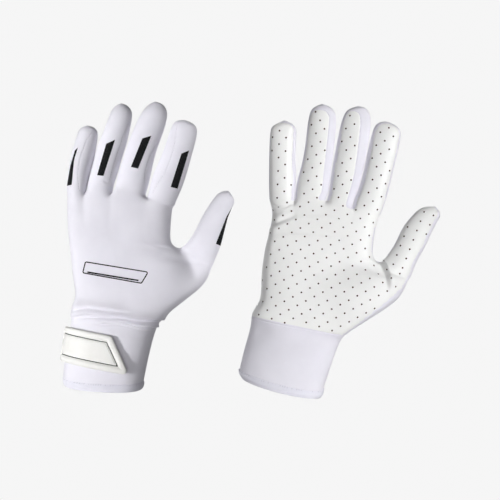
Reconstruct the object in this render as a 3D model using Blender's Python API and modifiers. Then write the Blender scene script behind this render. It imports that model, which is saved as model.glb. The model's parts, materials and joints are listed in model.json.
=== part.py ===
"""A pair of thin hockey gloves as worn: the left one shows its back to the front, the right one its palm.

Each glove is sewn from a knit back, a perforated synthetic palm, five finger stalls, a knit cuff with a bound
hem and a moulded strap that closes on a hook patch. A stall is a knit arch with a synthetic facing let in.
Lengths are metres and +Z is up. The origin lies midway between the two cuff mouths, X runs across the pair
and Y into the picture. Each stall turns about its knuckle crease, and the strap about its sewn end.
"""

import math

import bmesh
import bpy
from mathutils import Matrix, Vector

# Cloth and seams
KNIT_WALL = 0.0010
FACING_WALL = 0.0010
SEAM_GAP = 0.0006
EDGE_RISE = 0.0025

# Half depths of the hand, from the seam to the back and to the palm
WRIST_BACK = 0.0230
WRIST_PALM = 0.0210
HAND_BACK = 0.0160
HAND_PALM = 0.0170
KNUCKLE_BACK = 0.0115
KNUCKLE_PALM = 0.0095
SECTION_POWER = 2.5

# Finger stalls
FINGERTIP_BACK = 0.0085
FINGERTIP_PALM = 0.0070
TIP_ROUND = 0.0090
ROOT_FLARE = 0.0140
KNIT_WRAP = 25.0

# Thumb stump of the hand, which the thumb's stall is set on
STUMP_REACH = 0.0100

# Cuff and hem
HEM_LENGTH = 0.0054
HEM_WALL = 0.0016
WRIST_WIDTH = 0.0815
MOUTH_WIDTH = 0.0740
MOUTH_BACK = 0.0250
MOUTH_PALM = 0.0240

# Strap and hook patch
PATCH_WALL = 0.0012
PATCH_REST = 0.0004
PATCH_WIDTH = 0.0240
PATCH_SPAN = (100.0, 140.0)
STRAP_WALL = 0.0030
STRAP_REST = 0.0004
STRAP_ROOT_WIDTH = 0.0265
STRAP_END_WIDTH = 0.0335
STRAP_HEIGHT = 0.0275
STRAP_ROOT = 176.0
STRAP_END_TOP = 93.0
STRAP_END_FOOT = 70.0

# How far apart the two cuff mouths are
PAIR_SPACING = 0.1602

# Rows and columns of the meshes
EDGE_COLUMNS = (0.0, 0.03, 0.09, 0.91, 0.97, 1.0)
ARCH_STEPS = 11
FACING_STEPS = 5
MARGIN_ANGLE = 4.0
TIP_ANGLES = (0.0, 35.0, 65.0, 90.0)
CUFF_COLUMNS = 28
STRAP_COLUMNS = 10

# Where the hand's outline passes between the wrist and the knuckles, as shares of its length
HEEL_SHARE = 0.2
EDGE_SHARE = 0.58
CORNER_SHARE = 0.3
STUMP_SHARE = 0.46
WEB_SHARE = 0.58
OUTLINE_SHARES = {HEEL_SHARE, CORNER_SHARE, STUMP_SHARE, EDGE_SHARE, WEB_SHARE}
HAND_ROWS = sorted({0.0, 0.1, 0.38, 0.72, 0.86, 1.0} | OUTLINE_SHARES)

# How quickly the finger roots' steps fade out of the hand's rows, towards the wrist
RIM_FADE = 3

# Points closer than this are one point
MERGE_DISTANCE = 0.000001

# How large the empties at the joints are drawn
PIVOT_SIZE = 0.01


# Places in a glove are given across and along the picture from the middle of its wrist.
# web is the step to a stall's root from the end of the root before it.
GLOVES = {
    "left": {
        "face": -1,
        "side": -1,
        "rise": 0.0021,
        "cuff_length": 0.0580,
        "cuff_lean": 11.9,
        "knuckle_start": (-0.0470, 0.1133),
        "heel": (-0.0392, 0.0207),
        "edge": (-0.0462, 0.0700),
        "thumb_corner": (0.0825, 0.0330),
        "fingers": {
            "little": {
                "width": 0.0180,
                "body_width": 0.0170,
                "tip_width": 0.0165,
                "length": 0.0591,
                "lean": 11.1,
                "web": (0.0, 0.0),
            },
            "ring": {
                "width": 0.0225,
                "body_width": 0.0205,
                "tip_width": 0.0195,
                "length": 0.0795,
                "lean": 15.1,
                "web": (0.0018, 0.0045),
            },
            "middle": {
                "width": 0.0260,
                "body_width": 0.0230,
                "tip_width": 0.0225,
                "length": 0.0819,
                "lean": 16.7,
                "web": (0.0040, 0.0065),
            },
            "index": {
                "width": 0.0235,
                "body_width": 0.0230,
                "tip_width": 0.0230,
                "length": 0.0753,
                "lean": 19.1,
                "web": (0.0025, -0.0025),
            },
            "thumb": {
                "width": 0.0325,
                "body_width": 0.0262,
                "tip_width": 0.0180,
                "length": 0.0640,
                "lean": 26.5,
                "web": (0.0076, -0.0390),
            },
        },
    },
    "right": {
        "face": 1,
        "side": 1,
        "rise": -0.0021,
        "cuff_length": 0.0516,
        "cuff_lean": 13.7,
        "knuckle_start": (-0.0255, 0.1120),
        "heel": (-0.0333, 0.0189),
        "edge": (-0.0285, 0.0700),
        "thumb_corner": (0.0945, 0.0270),
        "fingers": {
            "little": {
                "width": 0.0220,
                "body_width": 0.0222,
                "tip_width": 0.0215,
                "length": 0.0722,
                "lean": 0.6,
                "web": (0.0, 0.0),
            },
            "ring": {
                "width": 0.0235,
                "body_width": 0.0235,
                "tip_width": 0.0225,
                "length": 0.0846,
                "lean": 8.6,
                "web": (0.0020, 0.0050),
            },
            "middle": {
                "width": 0.0245,
                "body_width": 0.0240,
                "tip_width": 0.0235,
                "length": 0.0864,
                "lean": 11.6,
                "web": (0.0018, 0.0010),
            },
            "index": {
                "width": 0.0255,
                "body_width": 0.0235,
                "tip_width": 0.0220,
                "length": 0.0811,
                "lean": 13.8,
                "web": (0.0018, -0.0030),
            },
            "thumb": {
                "width": 0.0325,
                "body_width": 0.0265,
                "tip_width": 0.0185,
                "length": 0.0670,
                "lean": 31.5,
                "web": (0.0006, -0.0428),
            },
        },
    },
}

KNIT = ("white knit", (0.86, 0.86, 0.93), 0.75)
SYNTHETIC = ("perforated synthetic", (0.90, 0.90, 0.88), 0.50)
RUBBER = ("moulded strap rubber", (0.90, 0.90, 0.86), 0.45)
HOOK_TAPE = ("hook tape", (0.80, 0.80, 0.82), 0.90)


def clear_scene():
    for old in list(bpy.data.objects):
        bpy.data.objects.remove(old, do_unlink=True)


def new_collection(name):
    collection = bpy.data.collections.new(name)
    bpy.context.scene.collection.children.link(collection)
    return collection


def new_material(label, colour, roughness):
    material = bpy.data.materials.get(label) or bpy.data.materials.new(label)
    material.use_nodes = True
    shader = material.node_tree.nodes["Principled BSDF"]
    shader.inputs["Base Color"].default_value = (*colour, 1.0)
    shader.inputs["Roughness"].default_value = roughness
    shader.inputs["Metallic"].default_value = 0.0
    return material


def directions(lean):
    """Unit steps along and across a piece that leans to the right by that many degrees."""
    angle = math.radians(lean)
    along = Vector((math.sin(angle), math.cos(angle)))
    across = Vector((math.cos(angle), -math.sin(angle)))
    return along, across


def between(keys, share):
    """A value or point read from (share, value) keys, straight from one key to the next."""
    for (low, first), (high, last) in zip(keys, keys[1:]):
        if share <= high:
            return first + (last - first) * ((share - low) / (high - low))
    return keys[-1][1]


def bowed(start, middle, end, share):
    """A smooth curve of one number through start, middle at the half and end."""
    first = start * (1 - share) * (1 - 2 * share)
    second = middle * 4 * share * (1 - share)
    third = end * share * (2 * share - 1)
    return first + second + third


def bulge(share):
    """The height of a rounded section, from 0 at its edges to 1 in the middle, share running 0 to 1."""
    return max(0.0, 1 - abs(2 * share - 1) ** SECTION_POWER) ** (1 / SECTION_POWER)


def patch(
    name, place, rows, columns, inside, wall, look, collection, closed=False, keep=None, outward=False
):
    """An open sheet of cloth through place(row, column), thickened by Solidify away from its outer face."""
    sheet = bmesh.new()
    made = {}

    def corner(row, column):
        key = (row, column % columns if closed else column)
        if key not in made:
            made[key] = sheet.verts.new(place(*key))
        return made[key]

    for row in range(rows - 1):
        for column in range(columns if closed else columns - 1):
            if keep is None or keep(row, column):
                ring = [(row, column), (row, column + 1), (row + 1, column + 1), (row + 1, column)]
                sheet.faces.new([corner(*spot) for spot in ring])
    bmesh.ops.remove_doubles(sheet, verts=sheet.verts, dist=MERGE_DISTANCE)
    sheet.normal_update()
    facing_out = sum((f.calc_center_median() - inside).dot(f.normal) * f.calc_area() for f in sheet.faces)
    if facing_out < 0:
        bmesh.ops.reverse_faces(sheet, faces=sheet.faces)
    mesh = bpy.data.meshes.new(name)
    sheet.to_mesh(mesh)
    sheet.free()
    mesh.shade_smooth()
    mesh.materials.append(new_material(*look))
    piece = bpy.data.objects.new(name, mesh)
    collection.objects.link(piece)
    thicken = piece.modifiers.new("wall", "SOLIDIFY")
    thicken.thickness = wall
    thicken.offset = 1 if outward else -1
    thicken.use_even_offset = True
    return piece


def hang_on(pivot, pieces):
    """Parents pieces to an empty on their joint's axis, leaving them where they are."""
    bpy.context.view_layer.update()
    for piece in pieces:
        piece.parent = pivot
        piece.matrix_parent_inverse = pivot.matrix_world.inverted()


def new_pivot(name, point, axis, collection):
    """An empty at a joint, with its own X along the joint's axis."""
    pivot = bpy.data.objects.new(name, None)
    pivot.empty_display_size = PIVOT_SIZE
    pivot.matrix_world = Matrix.Translation(point) @ axis.to_track_quat("X", "Z").to_matrix().to_4x4()
    collection.objects.link(pivot)
    return pivot


class Glove:
    """One glove: where its wrist is and which way its back faces, and its pieces."""

    def __init__(self, label, sizes, parts, cutters):
        self.label = label
        self.sizes = sizes
        self.parts = parts
        self.cutters = cutters
        self.along, self.across = directions(sizes["cuff_lean"])
        self.mouth = Vector((sizes["side"] * PAIR_SPACING / 2, sizes["rise"]))
        self.wrist_height = HEM_LENGTH + sizes["cuff_length"]
        self.wrist = self.mouth + self.along * self.wrist_height
        self.lay_out_fingers()

    def name(self, piece):
        return f"{self.label}_{piece}"

    def at(self, flat, depth):
        """A point of the hand: flat from the wrist in the picture, depth towards the back of the hand."""
        spot = self.wrist + flat
        return Vector((spot.x, self.sizes["face"] * depth, spot.y))

    def lay_out_fingers(self):
        """Sets each stall's root beside the one before it, so that a wider one moves those after it."""
        self.stalls = []
        end = Vector(self.sizes["knuckle_start"])
        for name, sizes in self.sizes["fingers"].items():
            along, across = directions(sizes["lean"])
            start = end + Vector(sizes["web"])
            end = start + across * sizes["width"]
            stall = {**sizes, "name": name, "along": along, "across": across}
            stall.update(start=start, end=end, root=(start + end) / 2)
            self.stalls.append(stall)
        self.thumb = self.stalls[-1]

    def rim(self):
        """The hand's edge below the four finger roots, a seam's gap under each of them."""
        points = []
        for stall in self.stalls[:-1]:
            points += [stall["start"] - stall["along"] * SEAM_GAP, stall["end"] - stall["along"] * SEAM_GAP]
        return points

    def make_hand(self):
        """The knit back and the synthetic palm, two dished sheets that meet at the glove's edge."""
        rim = self.rim()
        chord = rim[-1] - rim[0]
        rim_keys = [((point - rim[0]).dot(chord) / chord.length_squared, point) for point in rim]
        shares = sorted({*EDGE_COLUMNS, *(round(share, 4) for share, _ in rim_keys[1:-1])})
        stump = self.thumb["root"] + self.thumb["along"] * STUMP_REACH
        outer_edge = [
            (0.0, -self.across * WRIST_WIDTH / 2),
            (HEEL_SHARE, Vector(self.sizes["heel"])),
            (EDGE_SHARE, Vector(self.sizes["edge"])),
            (1.0, rim[0]),
        ]
        thumb_edge = [
            (0.0, self.across * WRIST_WIDTH / 2),
            (CORNER_SHARE, Vector(self.sizes["thumb_corner"])),
            (STUMP_SHARE, stump),
            (WEB_SHARE, self.thumb["start"]),
            (1.0, rim[-1]),
        ]
        sections = [(0.0, 0.0)] + [(share, 1.0) for share in shares] + [(1.0, 0.0)]

        def sheet_point(row, column, sign, depths):
            rise = HAND_ROWS[row]
            share, lift = sections[column]
            left = between(outer_edge, rise)
            right = between(thumb_edge, rise)
            straight = rim[0] + chord * share
            bend = (between(rim_keys, share) - straight) * rise**RIM_FADE
            flat = left + (right - left) * share + bend
            depth = bowed(*depths, rise)
            height = EDGE_RISE + (depth - EDGE_RISE) * bulge(share)
            return self.at(flat, sign * (SEAM_GAP / 2 + lift * height))

        middle = self.at((rim[0] + rim[-1]) / 4, 0.0)
        box = self.thumb_cutter()
        for piece, sign, depths, wall, look in (
            ("hand_back", 1, (WRIST_BACK, HAND_BACK, KNUCKLE_BACK), KNIT_WALL, KNIT),
            ("hand_palm", -1, (WRIST_PALM, HAND_PALM, KNUCKLE_PALM), FACING_WALL, SYNTHETIC),
        ):
            sheet = patch(
                self.name(piece),
                lambda row, column, sign=sign, depths=depths: sheet_point(row, column, sign, depths),
                len(HAND_ROWS),
                len(sections),
                middle,
                wall,
                look,
                self.parts,
            )
            cut = sheet.modifiers.new("thumb hole", "BOOLEAN")
            cut.operation = "DIFFERENCE"
            cut.object = box

    def thumb_cutter(self):
        """A box that opens the hand at the thumb's root, a seam's gap below the thumb's stall."""
        reach = self.thumb["length"]
        span = self.thumb["width"] * 2
        depth = WRIST_BACK + WRIST_PALM
        centre = self.thumb["start"] + self.thumb["across"] * span / 2
        centre = centre + self.thumb["along"] * (reach / 2 - SEAM_GAP)
        bpy.ops.mesh.primitive_cube_add(size=1.0)
        box = bpy.context.object
        box.name = self.name("thumb_cutter")
        for holder in list(box.users_collection):
            holder.objects.unlink(box)
        self.cutters.objects.link(box)
        across = Vector((self.thumb["across"].x, 0.0, self.thumb["across"].y))
        turn = across.to_track_quat("X", "Z").to_matrix().to_4x4()
        size = Matrix.Diagonal((span, depth, reach, 1.0))
        box.matrix_world = Matrix.Translation(self.at(centre, 0.0)) @ turn @ size
        box.display_type = "WIRE"
        box.hide_render = True
        return box

    def make_stall(self, stall):
        """A knit arch closed over the fingertip and the synthetic facing let into its palm side."""
        half_root = stall["width"] / 2
        half_body = stall["body_width"] / 2
        half_tip = stall["tip_width"] / 2
        dome = stall["length"] - TIP_ROUND
        mid_back = (KNUCKLE_BACK + FINGERTIP_BACK) / 2
        mid_palm = (KNUCKLE_PALM + FINGERTIP_PALM) / 2
        stations = [
            (0.0, half_root, KNUCKLE_BACK, KNUCKLE_PALM),
            (ROOT_FLARE, half_body, KNUCKLE_BACK, KNUCKLE_PALM),
            ((ROOT_FLARE + dome) / 2, (half_body + half_tip) / 2, mid_back, mid_palm),
        ]
        straight = len(stations)
        for tip_angle in TIP_ANGLES:
            lift = math.sin(math.radians(tip_angle)) * TIP_ROUND
            narrow = math.cos(math.radians(tip_angle))
            stations.append(
                (dome + lift, half_tip * narrow, FINGERTIP_BACK * narrow, FINGERTIP_PALM * narrow)
            )
        gap_angle = math.degrees(SEAM_GAP / FINGERTIP_PALM)
        arch = spread_angles(-KNIT_WRAP, 180 + KNIT_WRAP, ARCH_STEPS)
        under = spread_angles(180 + KNIT_WRAP + gap_angle, 360 - KNIT_WRAP - gap_angle, FACING_STEPS)
        ring = arch + under

        def ring_point(station, angle):
            reach, half, back, palm = station
            turn = math.radians(angle)
            depth = (back if math.sin(turn) > 0 else palm) * math.sin(turn)
            sideways = stall["across"] * half * math.cos(turn)
            return self.at(stall["root"] + stall["along"] * reach + sideways, depth)

        facing_end = (dome - SEAM_GAP, half_tip, FINGERTIP_BACK, FINGERTIP_PALM)
        facing_stations = stations[:straight] + [facing_end]
        middle = self.at(stall["root"] + stall["along"] * stall["length"] / 2, 0.0)
        pieces = [
            patch(
                self.name(stall["name"] + "_back"),
                lambda row, column: ring_point(stations[row], ring[column]),
                len(stations),
                len(ring),
                middle,
                KNIT_WALL,
                KNIT,
                self.parts,
                closed=True,
                keep=lambda row, column: row >= straight or column < len(arch) - 1,
            ),
            patch(
                self.name(stall["name"] + "_facing"),
                lambda row, column: ring_point(facing_stations[row], under[column]),
                len(facing_stations),
                len(under),
                middle,
                FACING_WALL,
                SYNTHETIC,
                self.parts,
            ),
        ]
        crease = self.at(stall["root"], -KNUCKLE_PALM)
        across = Vector((stall["across"].x, 0.0, stall["across"].y))
        hang_on(new_pivot(self.name(stall["name"] + "_crease"), crease, across, self.parts), pieces)

    def cuff_point(self, reach, angle, proud=0.0):
        """A point of the cuff's outer face, at a height from the mouth and an angle from the thumb's side."""
        share = reach / self.wrist_height
        half = (MOUTH_WIDTH + (WRIST_WIDTH - MOUTH_WIDTH) * share) / 2 + proud
        back = MOUTH_BACK + (WRIST_BACK - MOUTH_BACK) * share + proud
        palm = MOUTH_PALM + (WRIST_PALM - MOUTH_PALM) * share + proud
        cosine = math.cos(math.radians(angle))
        sine = math.sin(math.radians(angle))
        power = 2 / SECTION_POWER
        sideways = math.copysign(abs(cosine) ** power, cosine) * half
        depth = math.copysign(abs(sine) ** power, sine) * (back if sine > 0 else palm)
        spot = self.mouth + self.along * reach + self.across * sideways
        return Vector((spot.x, self.sizes["face"] * depth, spot.y))

    def make_cuff(self):
        """The knit cuff and the bound hem at its mouth, two tubes end to end."""
        for piece, low, high, wall in (
            ("cuff", HEM_LENGTH, self.wrist_height - SEAM_GAP, KNIT_WALL),
            ("cuff_hem", 0.0, HEM_LENGTH - SEAM_GAP, HEM_WALL),
        ):
            levels = [low, (low + high) / 2, high]
            patch(
                self.name(piece),
                lambda row, column, levels=levels: self.cuff_point(levels[row], 360 * column / CUFF_COLUMNS),
                len(levels),
                CUFF_COLUMNS,
                self.cuff_point((low + high) / 2, 90.0, -MOUTH_BACK),
                wall,
                KNIT,
                self.parts,
                closed=True,
            )

    def make_strap(self):
        """The hook patch on the back of the cuff and the strap over it, sewn at the outer side."""
        middle = self.cuff_point(STRAP_HEIGHT, 90.0, -MOUTH_BACK)
        patch_low = STRAP_HEIGHT - PATCH_WIDTH / 2
        patch(
            self.name("hook_patch"),
            lambda row, column: self.cuff_point(
                patch_low + PATCH_WIDTH * row,
                PATCH_SPAN[0] + (PATCH_SPAN[1] - PATCH_SPAN[0]) * column / STRAP_COLUMNS,
                PATCH_REST,
            ),
            2,
            STRAP_COLUMNS + 1,
            middle,
            PATCH_WALL,
            HOOK_TAPE,
            self.parts,
            outward=True,
        )
        strap_rest = PATCH_REST + PATCH_WALL + STRAP_REST

        def strap_point(row, column):
            share = column / STRAP_COLUMNS
            width = STRAP_ROOT_WIDTH + (STRAP_END_WIDTH - STRAP_ROOT_WIDTH) * share
            end = STRAP_END_FOOT + (STRAP_END_TOP - STRAP_END_FOOT) * row / 2
            angle = STRAP_ROOT + (end - STRAP_ROOT) * share
            return self.cuff_point(STRAP_HEIGHT + width * (row - 1) / 2, angle, strap_rest)

        strap = patch(
            self.name("strap"),
            strap_point,
            3,
            STRAP_COLUMNS + 1,
            middle,
            STRAP_WALL,
            RUBBER,
            self.parts,
            outward=True,
        )
        sewn = self.cuff_point(STRAP_HEIGHT, STRAP_ROOT, strap_rest)
        along = Vector((self.along.x, 0.0, self.along.y))
        hang_on(new_pivot(self.name("strap_seam"), sewn, along, self.parts), [strap])

    def make(self):
        self.make_hand()
        for stall in self.stalls:
            self.make_stall(stall)
        self.make_cuff()
        self.make_strap()


def spread_angles(first, last, steps):
    """Angles from first to last, with a narrow margin beside each seam."""
    inner_first = first + MARGIN_ANGLE
    inner_last = last - MARGIN_ANGLE
    inner = [inner_first + (inner_last - inner_first) * step / steps for step in range(steps + 1)]
    return [first] + inner + [last]


def main():
    clear_scene()
    parts = new_collection("hockey_gloves")
    cutters = new_collection("cutters")
    for label, sizes in GLOVES.items():
        Glove(label, sizes, parts, cutters).make()


main()
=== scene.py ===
import json
import math
from itertools import zip_longest

import bmesh
import bpy
import numpy as np
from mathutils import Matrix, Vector
from mathutils.bvhtree import BVHTree


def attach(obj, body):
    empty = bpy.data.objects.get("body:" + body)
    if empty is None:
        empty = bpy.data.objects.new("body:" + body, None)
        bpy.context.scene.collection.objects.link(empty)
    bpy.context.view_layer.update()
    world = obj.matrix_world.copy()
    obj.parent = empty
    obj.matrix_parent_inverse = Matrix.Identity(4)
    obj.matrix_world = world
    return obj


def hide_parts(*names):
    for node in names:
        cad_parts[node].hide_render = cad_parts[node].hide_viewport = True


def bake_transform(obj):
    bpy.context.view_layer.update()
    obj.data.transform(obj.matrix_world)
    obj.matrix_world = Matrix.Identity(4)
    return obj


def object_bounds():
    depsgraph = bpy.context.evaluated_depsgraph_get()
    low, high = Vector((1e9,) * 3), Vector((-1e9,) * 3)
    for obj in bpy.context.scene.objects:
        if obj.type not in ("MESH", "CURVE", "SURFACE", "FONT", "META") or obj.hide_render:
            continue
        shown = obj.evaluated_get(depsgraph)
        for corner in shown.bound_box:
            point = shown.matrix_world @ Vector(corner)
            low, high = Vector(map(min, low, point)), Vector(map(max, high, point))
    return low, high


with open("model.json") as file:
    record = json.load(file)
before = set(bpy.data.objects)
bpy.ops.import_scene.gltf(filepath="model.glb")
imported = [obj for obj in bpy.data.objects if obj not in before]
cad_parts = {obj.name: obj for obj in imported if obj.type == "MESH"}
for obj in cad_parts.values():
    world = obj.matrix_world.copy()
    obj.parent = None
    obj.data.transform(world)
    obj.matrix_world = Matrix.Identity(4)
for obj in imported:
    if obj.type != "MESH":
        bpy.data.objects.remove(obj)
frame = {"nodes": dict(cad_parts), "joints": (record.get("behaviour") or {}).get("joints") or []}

for startName in ("Cube", "Light", "Camera"):  # the start-up file's own objects
    if startName in bpy.data.objects:
        bpy.data.objects.remove(bpy.data.objects[startName], do_unlink=True)
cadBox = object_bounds()
joints = {joint["name"]: joint for joint in frame["joints"]}
fingerNames = ("little", "ring", "middle", "index", "thumb")
print("frame loaded")

# The picture plane runs through the middle of both gloves, and its places are written in the photo's pixels
photo = {
    "metresPerPixel": 0.0009,
    "zeroColumn": 193.0,
    "zeroRow": 385.0,
    "middle": (250.0, 250.0),
    "size": 500,
}
cameraAway = 1.30


def fromPhoto(spot):
    x = (spot[0] - photo["zeroColumn"]) * photo["metresPerPixel"]
    z = (photo["zeroRow"] - spot[1]) * photo["metresPerPixel"]
    return Vector((x, 0.0, z))


def pixels(points):
    # picture columns and rows of an array of points
    columns = points[:, 0] / photo["metresPerPixel"] + photo["zeroColumn"]
    rows = photo["zeroRow"] - points[:, 2] / photo["metresPerPixel"]
    return np.stack([columns, rows], axis=1)


# The skin's rows from the hem up: their zone, their left ends and their right ends in the photo. The thumb's
# rows end on its root and the knuckles' row on the fingers' roots.
gloveShapes = {
    "left": {
        "face": -1,
        "rows": [
            ("hem",
             [(63.2, 380.6), (62.4, 378.6), (62.2, 375.4)],
             [(143.4, 385), (144.4, 382.6), (144.9, 379.4)]),
            ("cuff",
             [(62.3, 373.8), (62.6, 371.8), (64, 356), (67, 339), (70.2, 327.5)],
             [(145.1, 377.6), (145.6, 375.6), (149.4, 357), (154.4, 338.5), (157.6, 328)]),
            ("hand",
             [(70.6, 320), (69.4, 310.6), (72.2, 304.4), (75.2, 297), (73.4, 286), (71.2, 274)],
             [(160.6, 322.2), (164, 318), (168.8, 314.2), (179, 306.2), (193.4, 295.2), (209, 283.4)]),
            ("thumb",
             [
                 (70.2, 264.5), (69.7, 259), (69.2, 253.5), (68.7, 248.5), (68.2, 243.5), (67.7, 238.5),
                 (67.2, 233.5),
             ],
             []),
            ("hand",
             [(66.8, 228.5), (66.5, 223.5), (66.3, 217.5), (66.2, 209), (66.2, 198), (66.3, 192.8)],
             [(174, 245.6), (171.4, 240), (172, 230), (172.6, 218), (174, 209), (174.5, 206.9)]),
            ("knuckle", [None], []),
        ],
    },
    "right": {
        "face": 1,
        "rows": [
            ("hem",
             [(240.2, 374.8), (238.9, 372), (238.5, 368.8)],
             [(322.4, 394.4), (323.4, 391.6), (324, 388.6)]),
            ("cuff",
             [(238.6, 367.2), (238.9, 365.2), (243.6, 347), (248.2, 332.5), (250.2, 322.5)],
             [(324.3, 387), (325, 384.6), (332, 364), (338.4, 347.5), (342.2, 339.6)]),
            ("hand",
             [(250.2, 315), (252.2, 308), (258.4, 302.6), (259.5, 292), (259.5, 282), (259.7, 274)],
             [(345, 335.8), (352.8, 330.6), (366.6, 322), (382, 312.2), (397.6, 302.4), (405.4, 292.2)]),
            ("thumb",
             [
                 (260.3, 267), (260.9, 262.5), (261.6, 258), (262.5, 253.5), (263.4, 249),
                 (264.5, 244.5), (265.8, 240),
             ],
             []),
            ("hand",
             [(267, 235), (268.4, 229.5), (269.8, 223.5), (271.2, 216), (270.6, 209), (270, 205.6)],
             [
                 (376, 260.8), (373.9, 254.5), (374.4, 244.5), (376.2, 231), (379.2, 219.5),
                 (380.4, 215.8),
             ]),
            ("knuckle", [None], []),
        ],
    },
}
for shape in gloveShapes.values():
    runs = shape["rows"]
    shape["rows"] = [(zone, *ends) for zone, lefts, rights in runs for ends in zip_longest(lefts, rights)]

# The two edges of each finger in the photo, from its root to the shoulders of its tip
fingerOutlines = {
    "left_little": {
        "left": [
            (66.6, 187.5), (68.1, 175), (70.4, 156.3), (74.2, 143.8), (77.3, 132.5), (79.2, 128.8),
            (81.9, 126.5),
        ],
        "right": [
            (86.2, 191), (88.1, 183), (90.6, 171.3), (92.5, 165), (94.8, 156.3), (96.6, 145),
            (97.8, 136.3), (97.9, 131.3), (95.6, 128.3), (92.5, 126.5),
        ],
        "tip": (87.5, 125.2),
    },
    "left_ring": {
        "left": [
            (87, 188), (89, 179), (91.8, 167), (95.3, 154), (98, 145), (102.2, 133.8), (106.2, 123.8),
            (109.5, 112.5), (111.3, 109.8), (114.4, 106.3), (117.5, 104.2),
        ],
        "right": [
            (112.6, 192.5), (113.8, 185), (115.6, 180), (118, 172.5), (120.8, 162.5), (123.8, 152.5),
            (126.4, 145), (127.8, 138.8), (129.9, 130), (131.7, 121.3), (132.6, 113.8), (131.5, 110),
            (128.8, 106.5), (125, 104),
        ],
        "tip": (121.3, 103),
    },
    "left_middle": {
        "left": [
            (115.8, 187), (117, 177.5), (120, 167.5), (123.2, 158.1), (126.4, 147.5), (128.2, 141.3),
            (131.4, 133.8), (135, 125), (138.1, 118.1), (141.3, 111.9), (145, 107.5), (149.6, 103.3),
        ],
        "right": [
            (145.8, 194), (147.8, 188.5), (149.2, 182.5), (151.4, 172.5), (153.2, 163.8), (155.5, 153.8),
            (158, 146.3), (161.4, 138.1), (164.6, 128.8), (166.8, 121.3), (167.7, 114.4), (166.5, 108.8),
            (163.8, 105), (160, 102.4),
        ],
        "tip": (155.2, 101.2),
    },
    "left_index": {
        "left": [
            (147.6, 197), (149.2, 190), (151.2, 180), (153.7, 172.5), (157.2, 165), (160.4, 158.1),
            (163.6, 149.4), (166.1, 142.5), (168.6, 133.8), (170.5, 127.5), (173.4, 122.6),
            (176.6, 120.2),
        ],
        "right": [
            (174.8, 205.5), (178.2, 196.3), (182, 188.8), (185.8, 177.5), (189, 166.3), (191.5, 156.3),
            (194, 147.5), (196.2, 140), (197.5, 132.5), (197.1, 128.1), (194.8, 124.6), (190.6, 121.9),
        ],
        "tip": (184.5, 119.7),
    },
    "left_thumb": {
        "left": [
            (180.4, 247.2), (185.3, 245.2), (188, 241.5), (191.4, 237), (194.5, 232), (197.4, 226.3),
            (200.6, 218.8), (203.7, 213.5), (207.4, 207.3), (211.8, 201), (216.2, 194.8), (220, 191.4),
            (225, 190.5),
        ],
        "right": [
            (212.8, 266.5), (215.2, 258.8), (217.4, 254.5), (219.8, 248.8), (222.2, 241.3),
            (224.6, 231.3), (226.7, 222.5), (228.2, 216.3), (230.2, 210.6), (234.4, 203.8), (235.1, 200),
            (231.9, 195), (230.2, 192.6),
        ],
        "tip": (228.5, 190.9),
    },
    "right_little": {
        "left": [
            (269.6, 203), (268.8, 190), (268.8, 171.3), (269.1, 152.5), (269.5, 140), (270.1, 131.3),
            (271.3, 126.5), (275, 124.6), (279.5, 122.8),
        ],
        "right": [
            (294.4, 202), (295.4, 194), (296.3, 185), (296.6, 176.3), (295.8, 167.5), (295.5, 158.8),
            (295.9, 146.3), (296.6, 136.3), (297, 130.6), (295, 126.5), (291.3, 123.1), (287.5, 121.4),
        ],
        "tip": (284, 120.6),
    },
    "right_ring": {
        "left": [
            (295, 196), (295.8, 190), (296.8, 182.5), (298, 176.3), (300.2, 170), (301.8, 163.8),
            (303.7, 155), (305.1, 146.3), (306.1, 137.5), (307.1, 127.5), (307.9, 120), (309.3, 113.1),
            (311.3, 109.2), (316.3, 106),
        ],
        "right": [
            (325.6, 199), (328.4, 194), (329.6, 186.3), (330.6, 176.3), (331.5, 167.5), (332.6, 158.8),
            (333.6, 150), (334.9, 138.8), (336.1, 127.5), (336.7, 118.1), (335.6, 113.1), (332.5, 109),
            (328.1, 106),
        ],
        "tip": (322.2, 104.1),
    },
    "right_middle": {
        "left": [
            (327.2, 199), (328.8, 194), (329.8, 185), (330.8, 176.3), (332.2, 166.3), (333.8, 158.8),
            (335.6, 148.8), (337.4, 140), (338.9, 131.3), (340.5, 123.8), (342.4, 116.9), (344.8, 112.3),
            (348.8, 108.8), (353.8, 107.3),
        ],
        "right": [
            (352.4, 204.5), (354.2, 198.8), (357.2, 191.3), (359.7, 183.8), (362.2, 175), (364.2, 165),
            (366.2, 155), (367.7, 146.3), (369.6, 135), (370.8, 126.3), (370.8, 118.8), (369.4, 113.1),
            (366.3, 109), (362.5, 107),
        ],
        "tip": (358.6, 106.3),
    },
    "right_index": {
        "left": [
            (352.6, 206.5), (353.6, 200.5), (356.4, 194), (359.4, 186.3), (362.4, 176.3), (364.4, 167.5),
            (366.2, 157.5), (368, 148.8), (369.8, 140), (371.7, 132.5), (373.6, 127.5), (376.3, 123.6),
            (379.4, 122.1),
        ],
        "right": [
            (381.2, 213), (382.8, 210), (385.9, 200), (388.8, 190), (391.8, 177.5), (394.7, 165),
            (397.4, 153.8), (399.8, 142.5), (401.2, 136.3), (400.5, 131.3), (397.5, 127), (392.5, 123.7),
        ],
        "tip": (386, 121.7),
    },
    "right_thumb": {
        "left": [
            (381.4, 262.3), (384.2, 260.8), (386.2, 257.5), (389, 252.8), (393.7, 246), (397.9, 238),
            (402.3, 227.3), (407.3, 221), (412.6, 214.6), (416.7, 210.4), (420.5, 207.3), (427.5, 206.5),
        ],
        "right": [
            (410.8, 277), (414.8, 266.3), (419.2, 256.5), (422.8, 252), (426.5, 243.8), (430.2, 235),
            (433.6, 228.1), (437.1, 221.9), (440, 216.9), (440, 213.1), (437.8, 209.4),
        ],
        "tip": (434.8, 206.7),
    },
}

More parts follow.
